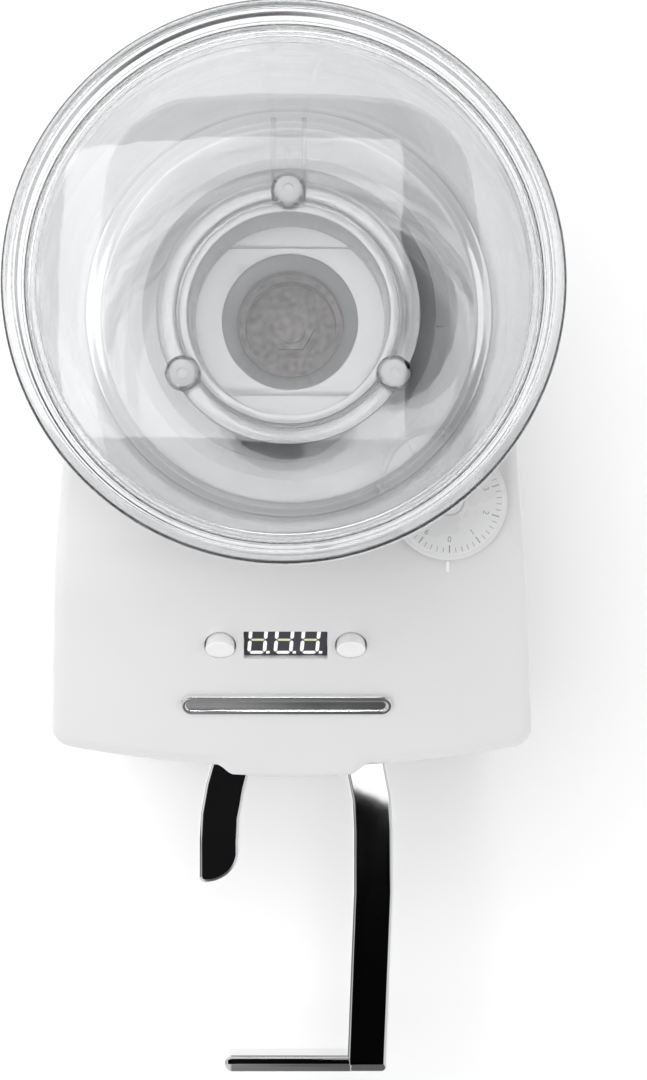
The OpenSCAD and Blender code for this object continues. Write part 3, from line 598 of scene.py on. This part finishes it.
def skin_sheet(rim, holes, grid_step):
    """A fine grid of triangles fitted between a rim and the holes' edges, lifted to the skin's height."""
    low, high = rim.min(0), rim.max(0)
    gx, gy = np.meshgrid(np.arange(low[0], high[0], grid_step), np.arange(low[1], high[1], grid_step))
    loops = [rim] + holes
    starts = np.cumsum([0] + [len(loop) for loop in loops])
    edges = [(int(a + i), int(a + (i + 1) % n)) for a, n in zip(starts, map(len, loops)) for i in range(n)]
    points = np.concatenate(loops + [np.column_stack([gx.ravel(), gy.ravel()])])
    places, _, triangles, _, _, _ = delaunay_2d_cdt([Vector(p) for p in points], edges, [], 0, 1e-4)
    places, triangles = np.array(places), np.array(triangles)
    middles = places[triangles].mean(1)
    keep = inside(middles, rim)
    for hole in holes:
        keep &= ~inside(middles, hole)
    used, corners = np.unique(triangles[keep], return_inverse=True)
    return np.column_stack([places[used], top_z(places[used, 1])]), corners.reshape(-1, 3).tolist()


def wall_of(rings):
    """Quads between rings of equally many points, given in turn."""
    return np.concatenate(rings), grid_faces(len(rings), len(rings[0]))


# The rim rolls over from the top sheet into the side wall, which runs down to the frame. Above
# the spout the wall stops at a thin lip.
outer = head_plan()
to_middle = inward(outer)
chin = chin_share(outer)
edge_r = cowl_edge + (lip_edge - cowl_edge) * chin
skirt = []
for angle in np.radians(np.linspace(90, 0, 9)):
    ring = outer + to_middle * (edge_r * (1 - math.cos(angle)))[:, None]
    skirt.append(np.column_stack([ring, top_z(ring[:, 1]) - edge_r * (1 - math.sin(angle))]))
skirt_top = skirt[-1][:, 2]
skirt_foot = np.where((np.abs(outer[:, 0]) < LIP_HALF_X) & (chin > 0), skirt_top, HEAD_Z)
tuck = np.clip((-outer[:, 1] - NOSE_Y + 12) / 12, 0, 1)
for share in (0.12, 0.3, 0.55, 0.8, 1.0):
    height = skirt_top + (skirt_foot - skirt_top) * share
    lean = 9 * tuck * (skirt_foot < skirt_top) * max(0, share - 0.35) / 0.65
    skirt.append(np.column_stack([outer[:, 0], outer[:, 1] + lean, height]))

WINDOW_HALF = (12.0, 4.7)
BUTTON_X, BUTTON_HOLE = 18.8, 4.5
DIAL_XY = (44.39, -50.18)
THROAT_R, BUSH_R = 42, 6.15


def sunk_rings(outline, x, steps):
    """Rings of an opening in the panel: the outline spread by each step's margin, at that step's depth."""
    spread = inward(outline)
    return [on_panel(np.column_stack([outline - margin * spread + [x, 0], np.full(len(outline), depth)]))
            for margin, depth in steps]


def drilled_rings(centre, r, steps):
    """Rings of a round hole in the deck: its radius opened by each step's margin, at that step's depth."""
    return [np.column_stack([circle(*centre, r + margin, 64), np.full(64, DECK_Z + depth)])
            for margin, depth in steps]


soft_edge = [(0.45, 0), (0.2, -0.07), (0.07, -0.2), (0, -0.45)]
button_rim = circle(0, 0, BUTTON_HOLE, 64)
openings = [sunk_rings(box_outline(*WINDOW_HALF, 0.35), 0, soft_edge + [(0, -3.2)]),
            sunk_rings(button_rim, -BUTTON_X, soft_edge + [(0, -4.5)]),
            sunk_rings(button_rim, BUTTON_X, soft_edge + [(0, -4.5)]),
            drilled_rings((0, 0), THROAT_R, soft_edge + [(0, -2.5)]),
            drilled_rings(DIAL_XY, BUSH_R, soft_edge + [(0, -2.5)])]
cowl_faces = [skin_sheet(skirt[0][:, :2], [rings[0][:, :2] for rings in openings], 2.2), wall_of(skirt)]
cowl = add_piece("painted_cowl", together(cowl_faces + [wall_of(rings) for rings in openings]),
                 white_powder, "root", ["top_cowl"], sharp=50)
place = np.empty(len(cowl.data.vertices) * 3)
cowl.data.vertices.foreach_get("co", place)
place = place.reshape(-1, 3) * 1000 - [0, burr_axis_y * 1000, 0]
over_spout = (np.abs(place[:, 0]) < LIP_HALF_X) & (place[:, 1] < -123.5) & (place[:, 2] > 180)
thickness = cowl.vertex_groups.new(name="thickness")
thickness.add(np.flatnonzero(~over_spout).tolist(), 1.0, "REPLACE")
thickness.add(np.flatnonzero(over_spout).tolist(), lip_wall_share, "REPLACE")
shell = cowl.modifiers.new("casting", "SOLIDIFY")
shell.thickness = cowl_wall / 1000
shell.offset = -1
shell.vertex_group = thickness.name

# A white stroke is printed on the deck in front of the dial.
index_white = finish_of("index_white", (0.9, 0.9, 0.9), (0.95, 0.95, 0.95), (0.25, 0.3), dust=0.0)
stroke = rounded([(-0.45, 1.5), (0.45, 1.5), (0.45, -1.5), (-0.45, -1.5)], 0.2, 3)
stroke = stroke + [DIAL_XY[0], DIAL_XY[1] - 18.4]
add_piece("index_stroke", slab(stroke, [(0, DECK_Z), (0, DECK_Z + 0.04), (0.02, DECK_Z + 0.06)]),
          index_white, "root")

# ---------------------------------------------------------------- timer display and buttons
# Three sloping seven-segment digits, each with a decimal point, lie under the edge of a dark
# lens. The two round push buttons stand out of the panel with their faces leaning to the user.

LENS_N = -2.2
SEGMENT_GAP = 0.22
DIGIT_XS, DIGIT_V = (-8.1, -0.5, 7.1), 0.6
DIGIT_H, DIGIT_W, DIGIT_LEAN = 8.8, 4.45, math.tan(math.radians(5))
SHOWN_HALF = (11.8, 4.5)


def segment(x0, v0, x1, v1, half):
    """A bar between two points with pointed ends, as a clockwise outline in the panel's plane."""
    start, end = np.array([x0, v0]), np.array([x1, v1])
    along = (end - start) / np.linalg.norm(end - start)
    side = np.array([-along[1], along[0]]) * half
    start, end = start + along * SEGMENT_GAP, end - along * SEGMENT_GAP
    return np.array([start, start + along * half + side, end - along * half + side, end,
                     end - along * half - side, start + along * half - side])


def panel_plate(outline, n0, n1):
    """A thin flat plate on the panel's frame from its clockwise outline."""
    points, faces = slab(outline, [(0, n0), (0, n1 - 0.01), (0.01, n1)])
    return on_panel(points), faces


lens_dark = finish_of("lens_dark", (0.052, 0.048, 0.06), (0.066, 0.062, 0.074), (0.3, 0.4), grain=500,
                      patch=60, depth=0.000006, dust=0.05)
# The segments are unlit: their faint emission is a painted glow that brightens the white and the yellowish
# bars.
segment_white_painted_glow = finish_of("segment_white_painted_glow", (0.83, 0.83, 0.82), (0.93, 0.93, 0.92), (0.4, 0.5), patch=200,
                          dust=0.0, Emission_Color=(1, 1, 0.98, 1), Emission_Strength=0.22)
segment_yellow_painted_glow = finish_of("segment_yellow_painted_glow", (0.62, 0.62, 0.4), (0.72, 0.72, 0.5), (0.4, 0.5), patch=200,
                           dust=0.0, Emission_Color=(0.9, 0.9, 0.6, 1), Emission_Strength=0.12)
lens_outline = box_outline(WINDOW_HALF[0] - 0.15, WINDOW_HALF[1] - 0.15, 0.25)
lens_levels = [(0.1, LENS_N - 1.1), (0, LENS_N - 1), (0, LENS_N - 0.1), (0.1, LENS_N)]
lens_points, lens_faces = slab(lens_outline, lens_levels)
add_piece("display_lens", (on_panel(lens_points), lens_faces), lens_dark, "root",
          ["display_window"])
white_bars, yellow_bars = [], []
for digit_x in DIGIT_XS:
    low, middle_v, high = DIGIT_V - DIGIT_H / 2, DIGIT_V, DIGIT_V + DIGIT_H / 2
    left, right = digit_x - DIGIT_W / 2, digit_x + DIGIT_W / 2
    for x0, v0, x1, v1 in [(left, low, right, low), (left, middle_v, left, high), (left, low, left, middle_v),
                           (right, middle_v, right, high), (right, low, right, middle_v)]:
        white_bars.append(segment(x0, v0, x1, v1, 0.52))
    yellow_bars.append(segment(left, middle_v, right, middle_v, 0.36))
    white_bars.append(box_outline(0.5, 0.45, 0.12) + [right + 1.05, low])
# Both sets of bars take the painted glow of their emissive materials; the display itself is off.
for name, bars, glow in [("digits_white_painted_glow", white_bars, segment_white_painted_glow),
                         ("digits_middle_painted_glow", yellow_bars, segment_yellow_painted_glow)]:
    leaned = [bar + np.outer(bar[:, 1], [DIGIT_LEAN, 0]) for bar in bars]
    shown = [np.clip(bar, np.negative(SHOWN_HALF), SHOWN_HALF) for bar in leaned]
    plates = [panel_plate(bar, LENS_N + 0.005, LENS_N + 0.04) for bar in shown]
    add_piece(name, together(plates), glow, "root")

BUTTON_R, BUTTON_LOW, BUTTON_HIGH = 4.2, 0.2, 4.3
BUTTON_ROUND, BUTTON_DISH = 0.45, 0.18


def button_shape(x):
    """A round plunger along the panel's normal: the height of its face rises with v, so that it leans."""
    a = np.linspace(0, -2 * math.pi, 72, endpoint=False)
    rise = (BUTTON_HIGH - BUTTON_LOW) / (2 * BUTTON_R)
    rings = []
    for r, n in [(5.6, -8), (5.7, -7.9), (5.7, -6.7), (5.6, -6.6), (BUTTON_R - 0.05, -6.55)]:
        rings.append(np.stack([x + r * np.cos(a), r * np.sin(a), n + 0 * a], axis=-1))
    for turn in np.radians(np.linspace(0, 90, 6)):
        r = BUTTON_R - 0.05 - BUTTON_ROUND * (1 - math.cos(turn))
        v = r * np.sin(a)
        height = BUTTON_LOW + rise * (BUTTON_R + v) - BUTTON_ROUND * (1 - math.sin(turn))
        rings.append(np.stack([x + r * np.cos(a), v, height], axis=-1))
    for share in (0.66, 0.33, 0.02):
        v = r * share * np.sin(a)
        height = BUTTON_LOW + rise * (BUTTON_R + v) - BUTTON_DISH * (1 - share ** 2)
        rings.append(np.stack([x + r * share * np.cos(a), v, height], axis=-1))
    count = len(a)
    last = (len(rings) - 1) * count
    faces = grid_faces(len(rings), count) + [list(range(count)), list(range(last, last + count))[::-1]]
    return on_panel(np.concatenate(rings)), faces


button_white = finish_of("button_white", (0.84, 0.84, 0.84), (0.88, 0.88, 0.88), (0.16, 0.22), grain=900,
                         patch=60, depth=0.000006, dust=0.02, Coat_Weight=0.4, Coat_Roughness=0.06)
add_piece("left_push_button", button_shape(-BUTTON_X), button_white, "left_button",
          ["button_left"])
add_piece("right_push_button", button_shape(BUTTON_X), button_white, "right_button",
          ["button_right"])

# ---------------------------------------------------------------- badge
# A plain chrome strip with round ends and a sunk satin middle is stuck to the lower panel.

chrome = finish_of("bright_chrome", (0.86, 0.865, 0.87), (0.9, 0.9, 0.905), (0.03, 0.06), grain=60, patch=30,
                   depth=0.00001, dust=0.012, metallic=1.0)
BADGE_HALF, BADGE_R, BADGE_V = 31.0, 3.3, -20.6
INLAY_R = 1.35


def strip_plate(r, steps, levels):
    """A long plate with round ends of radius r about the badge's two end centres."""
    middle = BADGE_HALF - BADGE_R
    outline = np.concatenate([arc(middle, 0, r, 90, -90, steps), arc(-middle, 0, r, -90, -270, steps)])
    points, faces = slab(outline, levels)
    return on_panel(points + [0, BADGE_V, 0]), faces


badge_levels = [(0, 0.02), (0, 0.9), (0.15, 1.25), (0.45, 1.4), (1.35, 1.4), (1.55, 1.3), (1.7, 0.95),
                (1.9, 0.85)]
add_piece("chrome_badge", strip_plate(BADGE_R, 24, badge_levels), chrome, "root", ["front_badge"],
          sharp=60)
satin_chrome = finish_of("satin_chrome", (0.42, 0.42, 0.425), (0.5, 0.5, 0.505), (0.3, 0.4), grain=2600,
                         patch=80, depth=0.00002, dust=0.02, metallic=1.0)
add_piece("badge_inlay", strip_plate(INLAY_R, 16, [(0, 0.86), (0, 0.92), (0.05, 0.94)]), satin_chrome,
          "root")

# ---------------------------------------------------------------- grind dial
# A white moulded knob with a thin skirt and a fluted side turns the adjusting gear. Its face
# carries graduations and numbers printed in grey, and a cap covers its screw.

DIAL_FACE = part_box("grind_dial")[1].z * 1000
NUMBERS, STROKES_EACH = 10, 5
DIAL_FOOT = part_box("grind_dial")[0].z * 1000
FLUTES, FLUTE_DEPTH = 72, 0.14


def fluted_knob():
    """The knob turned from its profile: on its side the radius dips by a cosine, 72 times round the rim."""
    side = [(15.42, 2.75), (15.4, 3.2), (15.4, 6.7)]
    edge = [tuple(point) for point in arc(14.8, 6.8, 0.6, 0, 90, 6)]
    profile = [(8, 0), (16.2, 0), (16.5, 0.3), (16.5, 2.2), (16.2, 2.5), (15.6, 2.6)] + side + edge
    profile += [(12, 7.4), (4.6, 7.4), (4.15, 7.25), (4.1, 6.5), (0, 6.5), (0, 1.6), (8, 1.6)]
    profile = np.array(profile) + [0, DIAL_FOOT]
    turns = FLUTES * 6
    points, faces = revolve(profile, turns)
    angle = np.tile(np.linspace(0, 2 * math.pi, turns, endpoint=False), len(profile))
    row = np.repeat(np.arange(len(profile)), turns)
    on_side = (row >= 7) & (row <= 11)
    dip = FLUTE_DEPTH * on_side * (1 + np.cos(FLUTES * angle)) / 2
    points[:, :2] -= dip[:, None] * np.column_stack([np.cos(angle), np.sin(angle)])
    return points + [*DIAL_XY, 0], faces


def tick(angle, r0, r1, half, z):
    """A thin printed stroke along a radius of the dial."""
    a = math.radians(angle)
    along, side = np.array([math.cos(a), math.sin(a)]), np.array([-math.sin(a), math.cos(a)])
    outline = np.array([r0 * along + half * side, r1 * along + half * side, r1 * along - half * side,
                        r0 * along - half * side])
    return slab(outline + DIAL_XY, [(0, z - 0.02), (0, z + 0.02), (0.01, z + 0.03)])


def dial_number(value, angle, r, size, z):
    """One number as a thin printed mesh, standing upright along the radius at its angle."""
    letters = bpy.data.curves.new("number", "FONT")
    letters.body = str(value)
    letters.size = size
    letters.align_x, letters.align_y = "CENTER", "CENTER"
    letters.extrude = 0.02
    letters.resolution_u = 3
    written = bpy.data.objects.new("number", letters)
    mesh = bpy.data.meshes.new_from_object(written)
    flat = np.empty(len(mesh.vertices) * 3)
    mesh.vertices.foreach_get("co", flat)
    flat = flat.reshape(-1, 3)
    faces = [list(face.vertices) for face in mesh.polygons]
    bpy.data.objects.remove(written)
    a = math.radians(angle)
    along, side = np.array([math.cos(a), math.sin(a)]), np.array([math.sin(a), -math.cos(a)])
    flat_xy = np.outer(flat[:, 1] + r, along) + np.outer(flat[:, 0], side) + DIAL_XY
    return np.column_stack([flat_xy, flat[:, 2] + z]), faces


knob_white = finish_of("knob_white", (0.74, 0.74, 0.742), (0.78, 0.78, 0.782), (0.24, 0.32), grain=1500,
                       patch=50, depth=0.00001, dust=0.03, Coat_Weight=0.2, Coat_Roughness=0.1)
print_grey = finish_of("print_grey", (0.3, 0.3, 0.31), (0.36, 0.36, 0.37), (0.5, 0.6), dust=0.0)
add_piece("grind_knob", fluted_knob(), knob_white, "dial", ["grind_dial"], sharp=40)
strokes = []
for k in range(NUMBERS * STROKES_EACH):
    inner_r, half_width = (12.4, 0.16) if k % STROKES_EACH == 0 else (13.1, 0.09)
    strokes.append(tick(k * 360 / (NUMBERS * STROKES_EACH) - 90, inner_r, 14.5, half_width, DIAL_FACE))
numbers = [dial_number(k, k * 360 / NUMBERS - 90, 10.6, 2.3, DIAL_FACE + 0.012) for k in range(NUMBERS)]
add_piece("dial_marks", together(strokes + numbers), print_grey, "dial")
softened("dial_button", "dial_cap", 0.35, knob_white, segments=3)

# ---------------------------------------------------------------- portafilter fork
# Two chromed arms hold the portafilter. The longer one ends in a deep cross bar that its handle
# rests on. Four screws fix the fork to the tower over the sprung start button.

fork_low, fork_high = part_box("portafilter_fork")
ARM_HALF, ARM_THICK = 6.7, 5
ARM_TOP = fork_high.z * 1000 - 4
ARM_LOW = ARM_TOP - ARM_THICK
FORK_FRONT = (fork_low.y - burr_axis_y) * 1000
PLATE_BACK = (fork_high.y - burr_axis_y) * 1000
PLATE_HALF, PLATE_THICK, PLATE_DROP = 34, 5, 16
BAR_END_X, BAR_THICK, BAR_DROP = -23.3, 6.2, 12
RIM, END_DEPTH = 1.3, 3


def sides_of(line):
    """The right and left edges of an arm: each point of its line steps half the width to the side."""
    line = np.array(line, float)
    step = np.gradient(line, axis=0)
    square = np.stack([-step[:, 1], step[:, 0]], axis=-1) / np.linalg.norm(step, axis=1, keepdims=True)
    return line + ARM_HALF * square, line - ARM_HALF * square


def forged(outline, low, high, front=0.0):
    """A bar with rounded rims. At the fork's front end it slopes back: y grows with the height squared."""
    turn = np.radians(np.linspace(0, 90, 7))
    rim, lift = RIM * (1 - np.cos(turn)), RIM * np.sin(turn)
    under = list(zip(rim[::-1], low + RIM - lift[::-1]))
    points, faces = slab(outline, under + list(zip(rim, high - RIM + lift)))
    end = points[:, 1] < FORK_FRONT + END_DEPTH
    points[end, 1] += front * np.clip((points[end, 2] - high) / END_DEPTH + 1, 0, 1) ** 2
    return points, faces


short_right, short_left = sides_of([(-14, PLATE_BACK), (-17, -105), (-20.5, -134), (-23, -143), (-24.6, -152),
                                    (-25, -160), (-25, -163.4)])
short_tip = np.concatenate([arc(0, 0, 1, -6, -84, 13) * [11.2, 10.6] + [-29.5, -163.4],
                            arc(-29.5, -171.8, 2.2, -90, -180, 5)])
short_arm = np.concatenate([short_right, short_tip, short_left[::-1]])
long_right, long_left = sides_of([(14, PLATE_BACK), (19, -105), (23.4, -136), (25.3, -146), (25.8, -156),
                                  (25.8, -177), (25, -197), (23.6, FORK_FRONT + END_DEPTH)])
long_tip = rounded([(long_right[-1, 0], FORK_FRONT + END_DEPTH), (long_right[-1, 0], FORK_FRONT),
                    (long_left[-1, 0], FORK_FRONT), (long_left[-1, 0], FORK_FRONT + END_DEPTH)],
                   [0, 1.8, 1.8, 0])[1:-1]
long_arm = np.concatenate([long_right, long_tip, long_left[::-1]])
rest_bar = rounded([(BAR_END_X, FORK_FRONT), (BAR_END_X, FORK_FRONT + BAR_THICK),
                    (19, FORK_FRONT + BAR_THICK), (19, FORK_FRONT)], [2.6, 2.6, 0, 0])
plate_low, plate_high = ARM_LOW - PLATE_DROP, fork_high.z * 1000
plate_outline = rounded([(-PLATE_HALF, plate_low), (-PLATE_HALF, plate_high), (PLATE_HALF, plate_high),
                         (PLATE_HALF, plate_low)], 1.5)
plate_points, plate_faces = forged(plate_outline, PLATE_BACK - PLATE_THICK, PLATE_BACK)
bars = [forged(short_arm, ARM_LOW, ARM_TOP), forged(long_arm, ARM_LOW, ARM_TOP, 2.2),
        forged(rest_bar, ARM_TOP - BAR_DROP, ARM_TOP, 2.4), (plate_points[:, [0, 2, 1]], plate_faces)]
fork = add_piece("chrome_fork", together(bars), chrome, "root", ["portafilter_fork"])
fork.modifiers.new("flat_faces", "WEIGHTED_NORMAL").keep_sharp = True
softened("fork_screw_heads", "fork_screws", 0.5, chrome, segments=3)
softened("start_plunger_cap", "start_button", 0.5, black_moulding, segments=3)

# ---------------------------------------------------------------- hopper mount
# A white-coated collar stands on the deck, and a pale silicone gasket seals the hopper to it.

MOUNT_TOP = DECK_Z + 12
silicone = finish_of("pale_silicone", (0.62, 0.62, 0.63), (0.68, 0.68, 0.69), (0.5, 0.6), grain=1400,
                     patch=40, depth=0.00001, dust=0.1)
softened("mount_collar", "deck_collar", 0.8, white_powder, segments=3)
seal_profile = rounded([(34, MOUNT_TOP + 0.05), (44, MOUNT_TOP + 0.05), (44, MOUNT_TOP + 1.5),
                        (34, MOUNT_TOP + 1.5)], 0.3, 3)
add_piece("seal_ring", revolve(seal_profile, 96), silicone, "root", ["hopper_gasket"])
dress(["collar_screws"], white_powder)

# ---------------------------------------------------------------- clear hopper
# The bowl is injection moulded: a wide shoulder at the bottom, a wall that opens slightly, and
# a stepped rim that the lid drops into.

FLOOR_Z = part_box("hopper")[0].z * 1000
RIM_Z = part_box("hopper")[1].z * 1000
RIM_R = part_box("hopper")[1].x * 1000
FLOOR_T = 2.4


def clear_material(name, tint, rough):
    """Clear plastic: its tint drifts a little, and fine scratches and haze roughen it in patches."""
    material, tree, shader, coat = skinned(name, 30, 12, 0.02, rough, (0.35, 0.75), 0.35, 0.0002)
    colour = tree.nodes.new("ShaderNodeMixRGB")
    colour.inputs["Color1"].default_value = (*[c * 0.99 for c in tint], 1)
    colour.inputs["Color2"].default_value = (*tint, 1)
    tree.links.new(coat.outputs["Tone"], colour.inputs["Fac"])
    tree.links.new(colour.outputs["Color"], shader.inputs["Base Color"])
    shader.inputs["Metallic"].default_value = 0.0
    shader.inputs["Transmission Weight"].default_value = 1.0
    shader.inputs["IOR"].default_value = 1.49
    return material


clear_plastic = clear_material("clear_plastic", (0.92, 0.925, 0.93), (0.01, 0.035))
outside = rounded([(34, FLOOR_Z), (59, FLOOR_Z), (62, FLOOR_Z + 4), (RIM_R - 2.4, RIM_Z - 6),
                   (RIM_R, RIM_Z - 4.8), (RIM_R, RIM_Z)], [0.3, 2.2, 3, 0.8, 0.6, 0.5], 6)
inside_wall = rounded([(RIM_R - 4.8, RIM_Z), (RIM_R - 4.8, RIM_Z - 6), (59.6, FLOOR_Z + 6.4),
                       (56.6, FLOOR_Z + FLOOR_T), (34, FLOOR_Z + FLOOR_T)], [0.5, 1, 3, 3, 0.3], 6)
ridge = rounded([(-0.6, 9.5), (0.6, 9.5), (0.6, -9.5), (-0.6, -9.5)], 0.4, 3)
ridge_levels = [(0, FLOOR_Z + 2), (0, FLOOR_Z + 3.6), (0.3, FLOOR_Z + 3.9)]
ridges = [slab(ridge + [x, 49.5], ridge_levels) for x in (-4.6, 4.6)]
bowl = revolve(np.concatenate([outside, inside_wall]), 192)
add_piece("hopper_bowl", together([bowl] + ridges), clear_plastic, "root", ["hopper"],
          sharp=60)

# ---------------------------------------------------------------- clamp ring, screws and throat
# A clear moulded ring with three screw bosses clamps the hopper's floor onto the gasket, and a
# collar with a double-D opening guides the beans down into the burrs.

CLAMP_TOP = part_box("hopper_clamp_ring")[1].z * 1000 - 0.6
BOSS_RING = 35.6
BOSS_PLACES = [(BOSS_RING * math.cos(a), BOSS_RING * math.sin(a)) for a in np.radians([90, 210, 330])]
clamp_foot = FLOOR_Z + FLOOR_T + 0.05
ring_profile = rounded([(32.8, clamp_foot), (38.7, clamp_foot), (38.7, CLAMP_TOP), (32.8, CLAMP_TOP)],
                       [0.4, 0.6, 1.6, 1.2], 5)
boss_profile = rounded([(2.3, clamp_foot), (5.2, clamp_foot), (5.2, CLAMP_TOP + 0.6), (2.3, CLAMP_TOP + 0.6)],
                       [0.3, 0.4, 1.0, 0.3], 5)
bosses = [revolve(boss_profile, 48, place) for place in BOSS_PLACES]
add_piece("clamp_ring", together([revolve(ring_profile, 160)] + bosses), clear_plastic, "root",
          ["hopper_clamp_ring"], sharp=50)
screw_nylon = finish_of("white_nylon", (0.76, 0.76, 0.77), (0.82, 0.82, 0.83), (0.22, 0.32), grain=900,
                        patch=90, depth=0.00001, dust=0.03)
head = CLAMP_TOP + 0.62
dome = np.radians(np.linspace(0, 66, 9))
screw_profile = np.concatenate([[(0, DECK_Z + 2), (2, DECK_Z + 2), (2, head), (3.9, head)],
                                np.column_stack([3.9 * np.cos(dome), head + 0.6 + 1.4 * np.sin(dome)]),
                                [(1.5, head + 1.9), (1.4, head + 0.8), (0, head + 0.8)]])
screws = [revolve(screw_profile, 48, place) for place in BOSS_PLACES]
add_piece("clamp_screws", together(screws), screw_nylon, "root", ["hopper_screws"])
guide_white = finish_of("guide_white", (0.74, 0.74, 0.75), (0.79, 0.79, 0.8), (0.14, 0.22), grain=500,
                        patch=40, depth=0.00001, dust=0.04, Coat_Weight=0.3, Coat_Roughness=0.05)
softened("bean_guide", "throat_collar", 0.5, guide_white, segments=3)

# ---------------------------------------------------------------- lid
# The clear lid has a raised rim, a flat disc and a plug that fits inside the bowl.

LID_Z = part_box("hopper_lid")[1].z * 1000
lid_profile = rounded([(0, RIM_Z + 0.3), (59.8, RIM_Z + 0.3), (59.8, RIM_Z - 7), (61.8, RIM_Z - 7),
                       (61.8, RIM_Z + 0.3), (RIM_R, RIM_Z + 0.3), (RIM_R, LID_Z), (RIM_R - 3.4, LID_Z),
                       (RIM_R - 4.6, RIM_Z + 2.8), (0, RIM_Z + 2.8)],
                      [0, 0.6, 0.6, 0.6, 0.4, 0.5, 1.4, 1.2, 1.2, 0], 5)
add_piece("lid_shell", revolve(lid_profile, 192), clear_plastic, "lid", ["hopper_lid"],
          sharp=60)

# ---------------------------------------------------------------- box corners


def corners(box):
    """A box's two corners as plain lists of numbers."""
    return [[float(value) for value in corner] for corner in box]
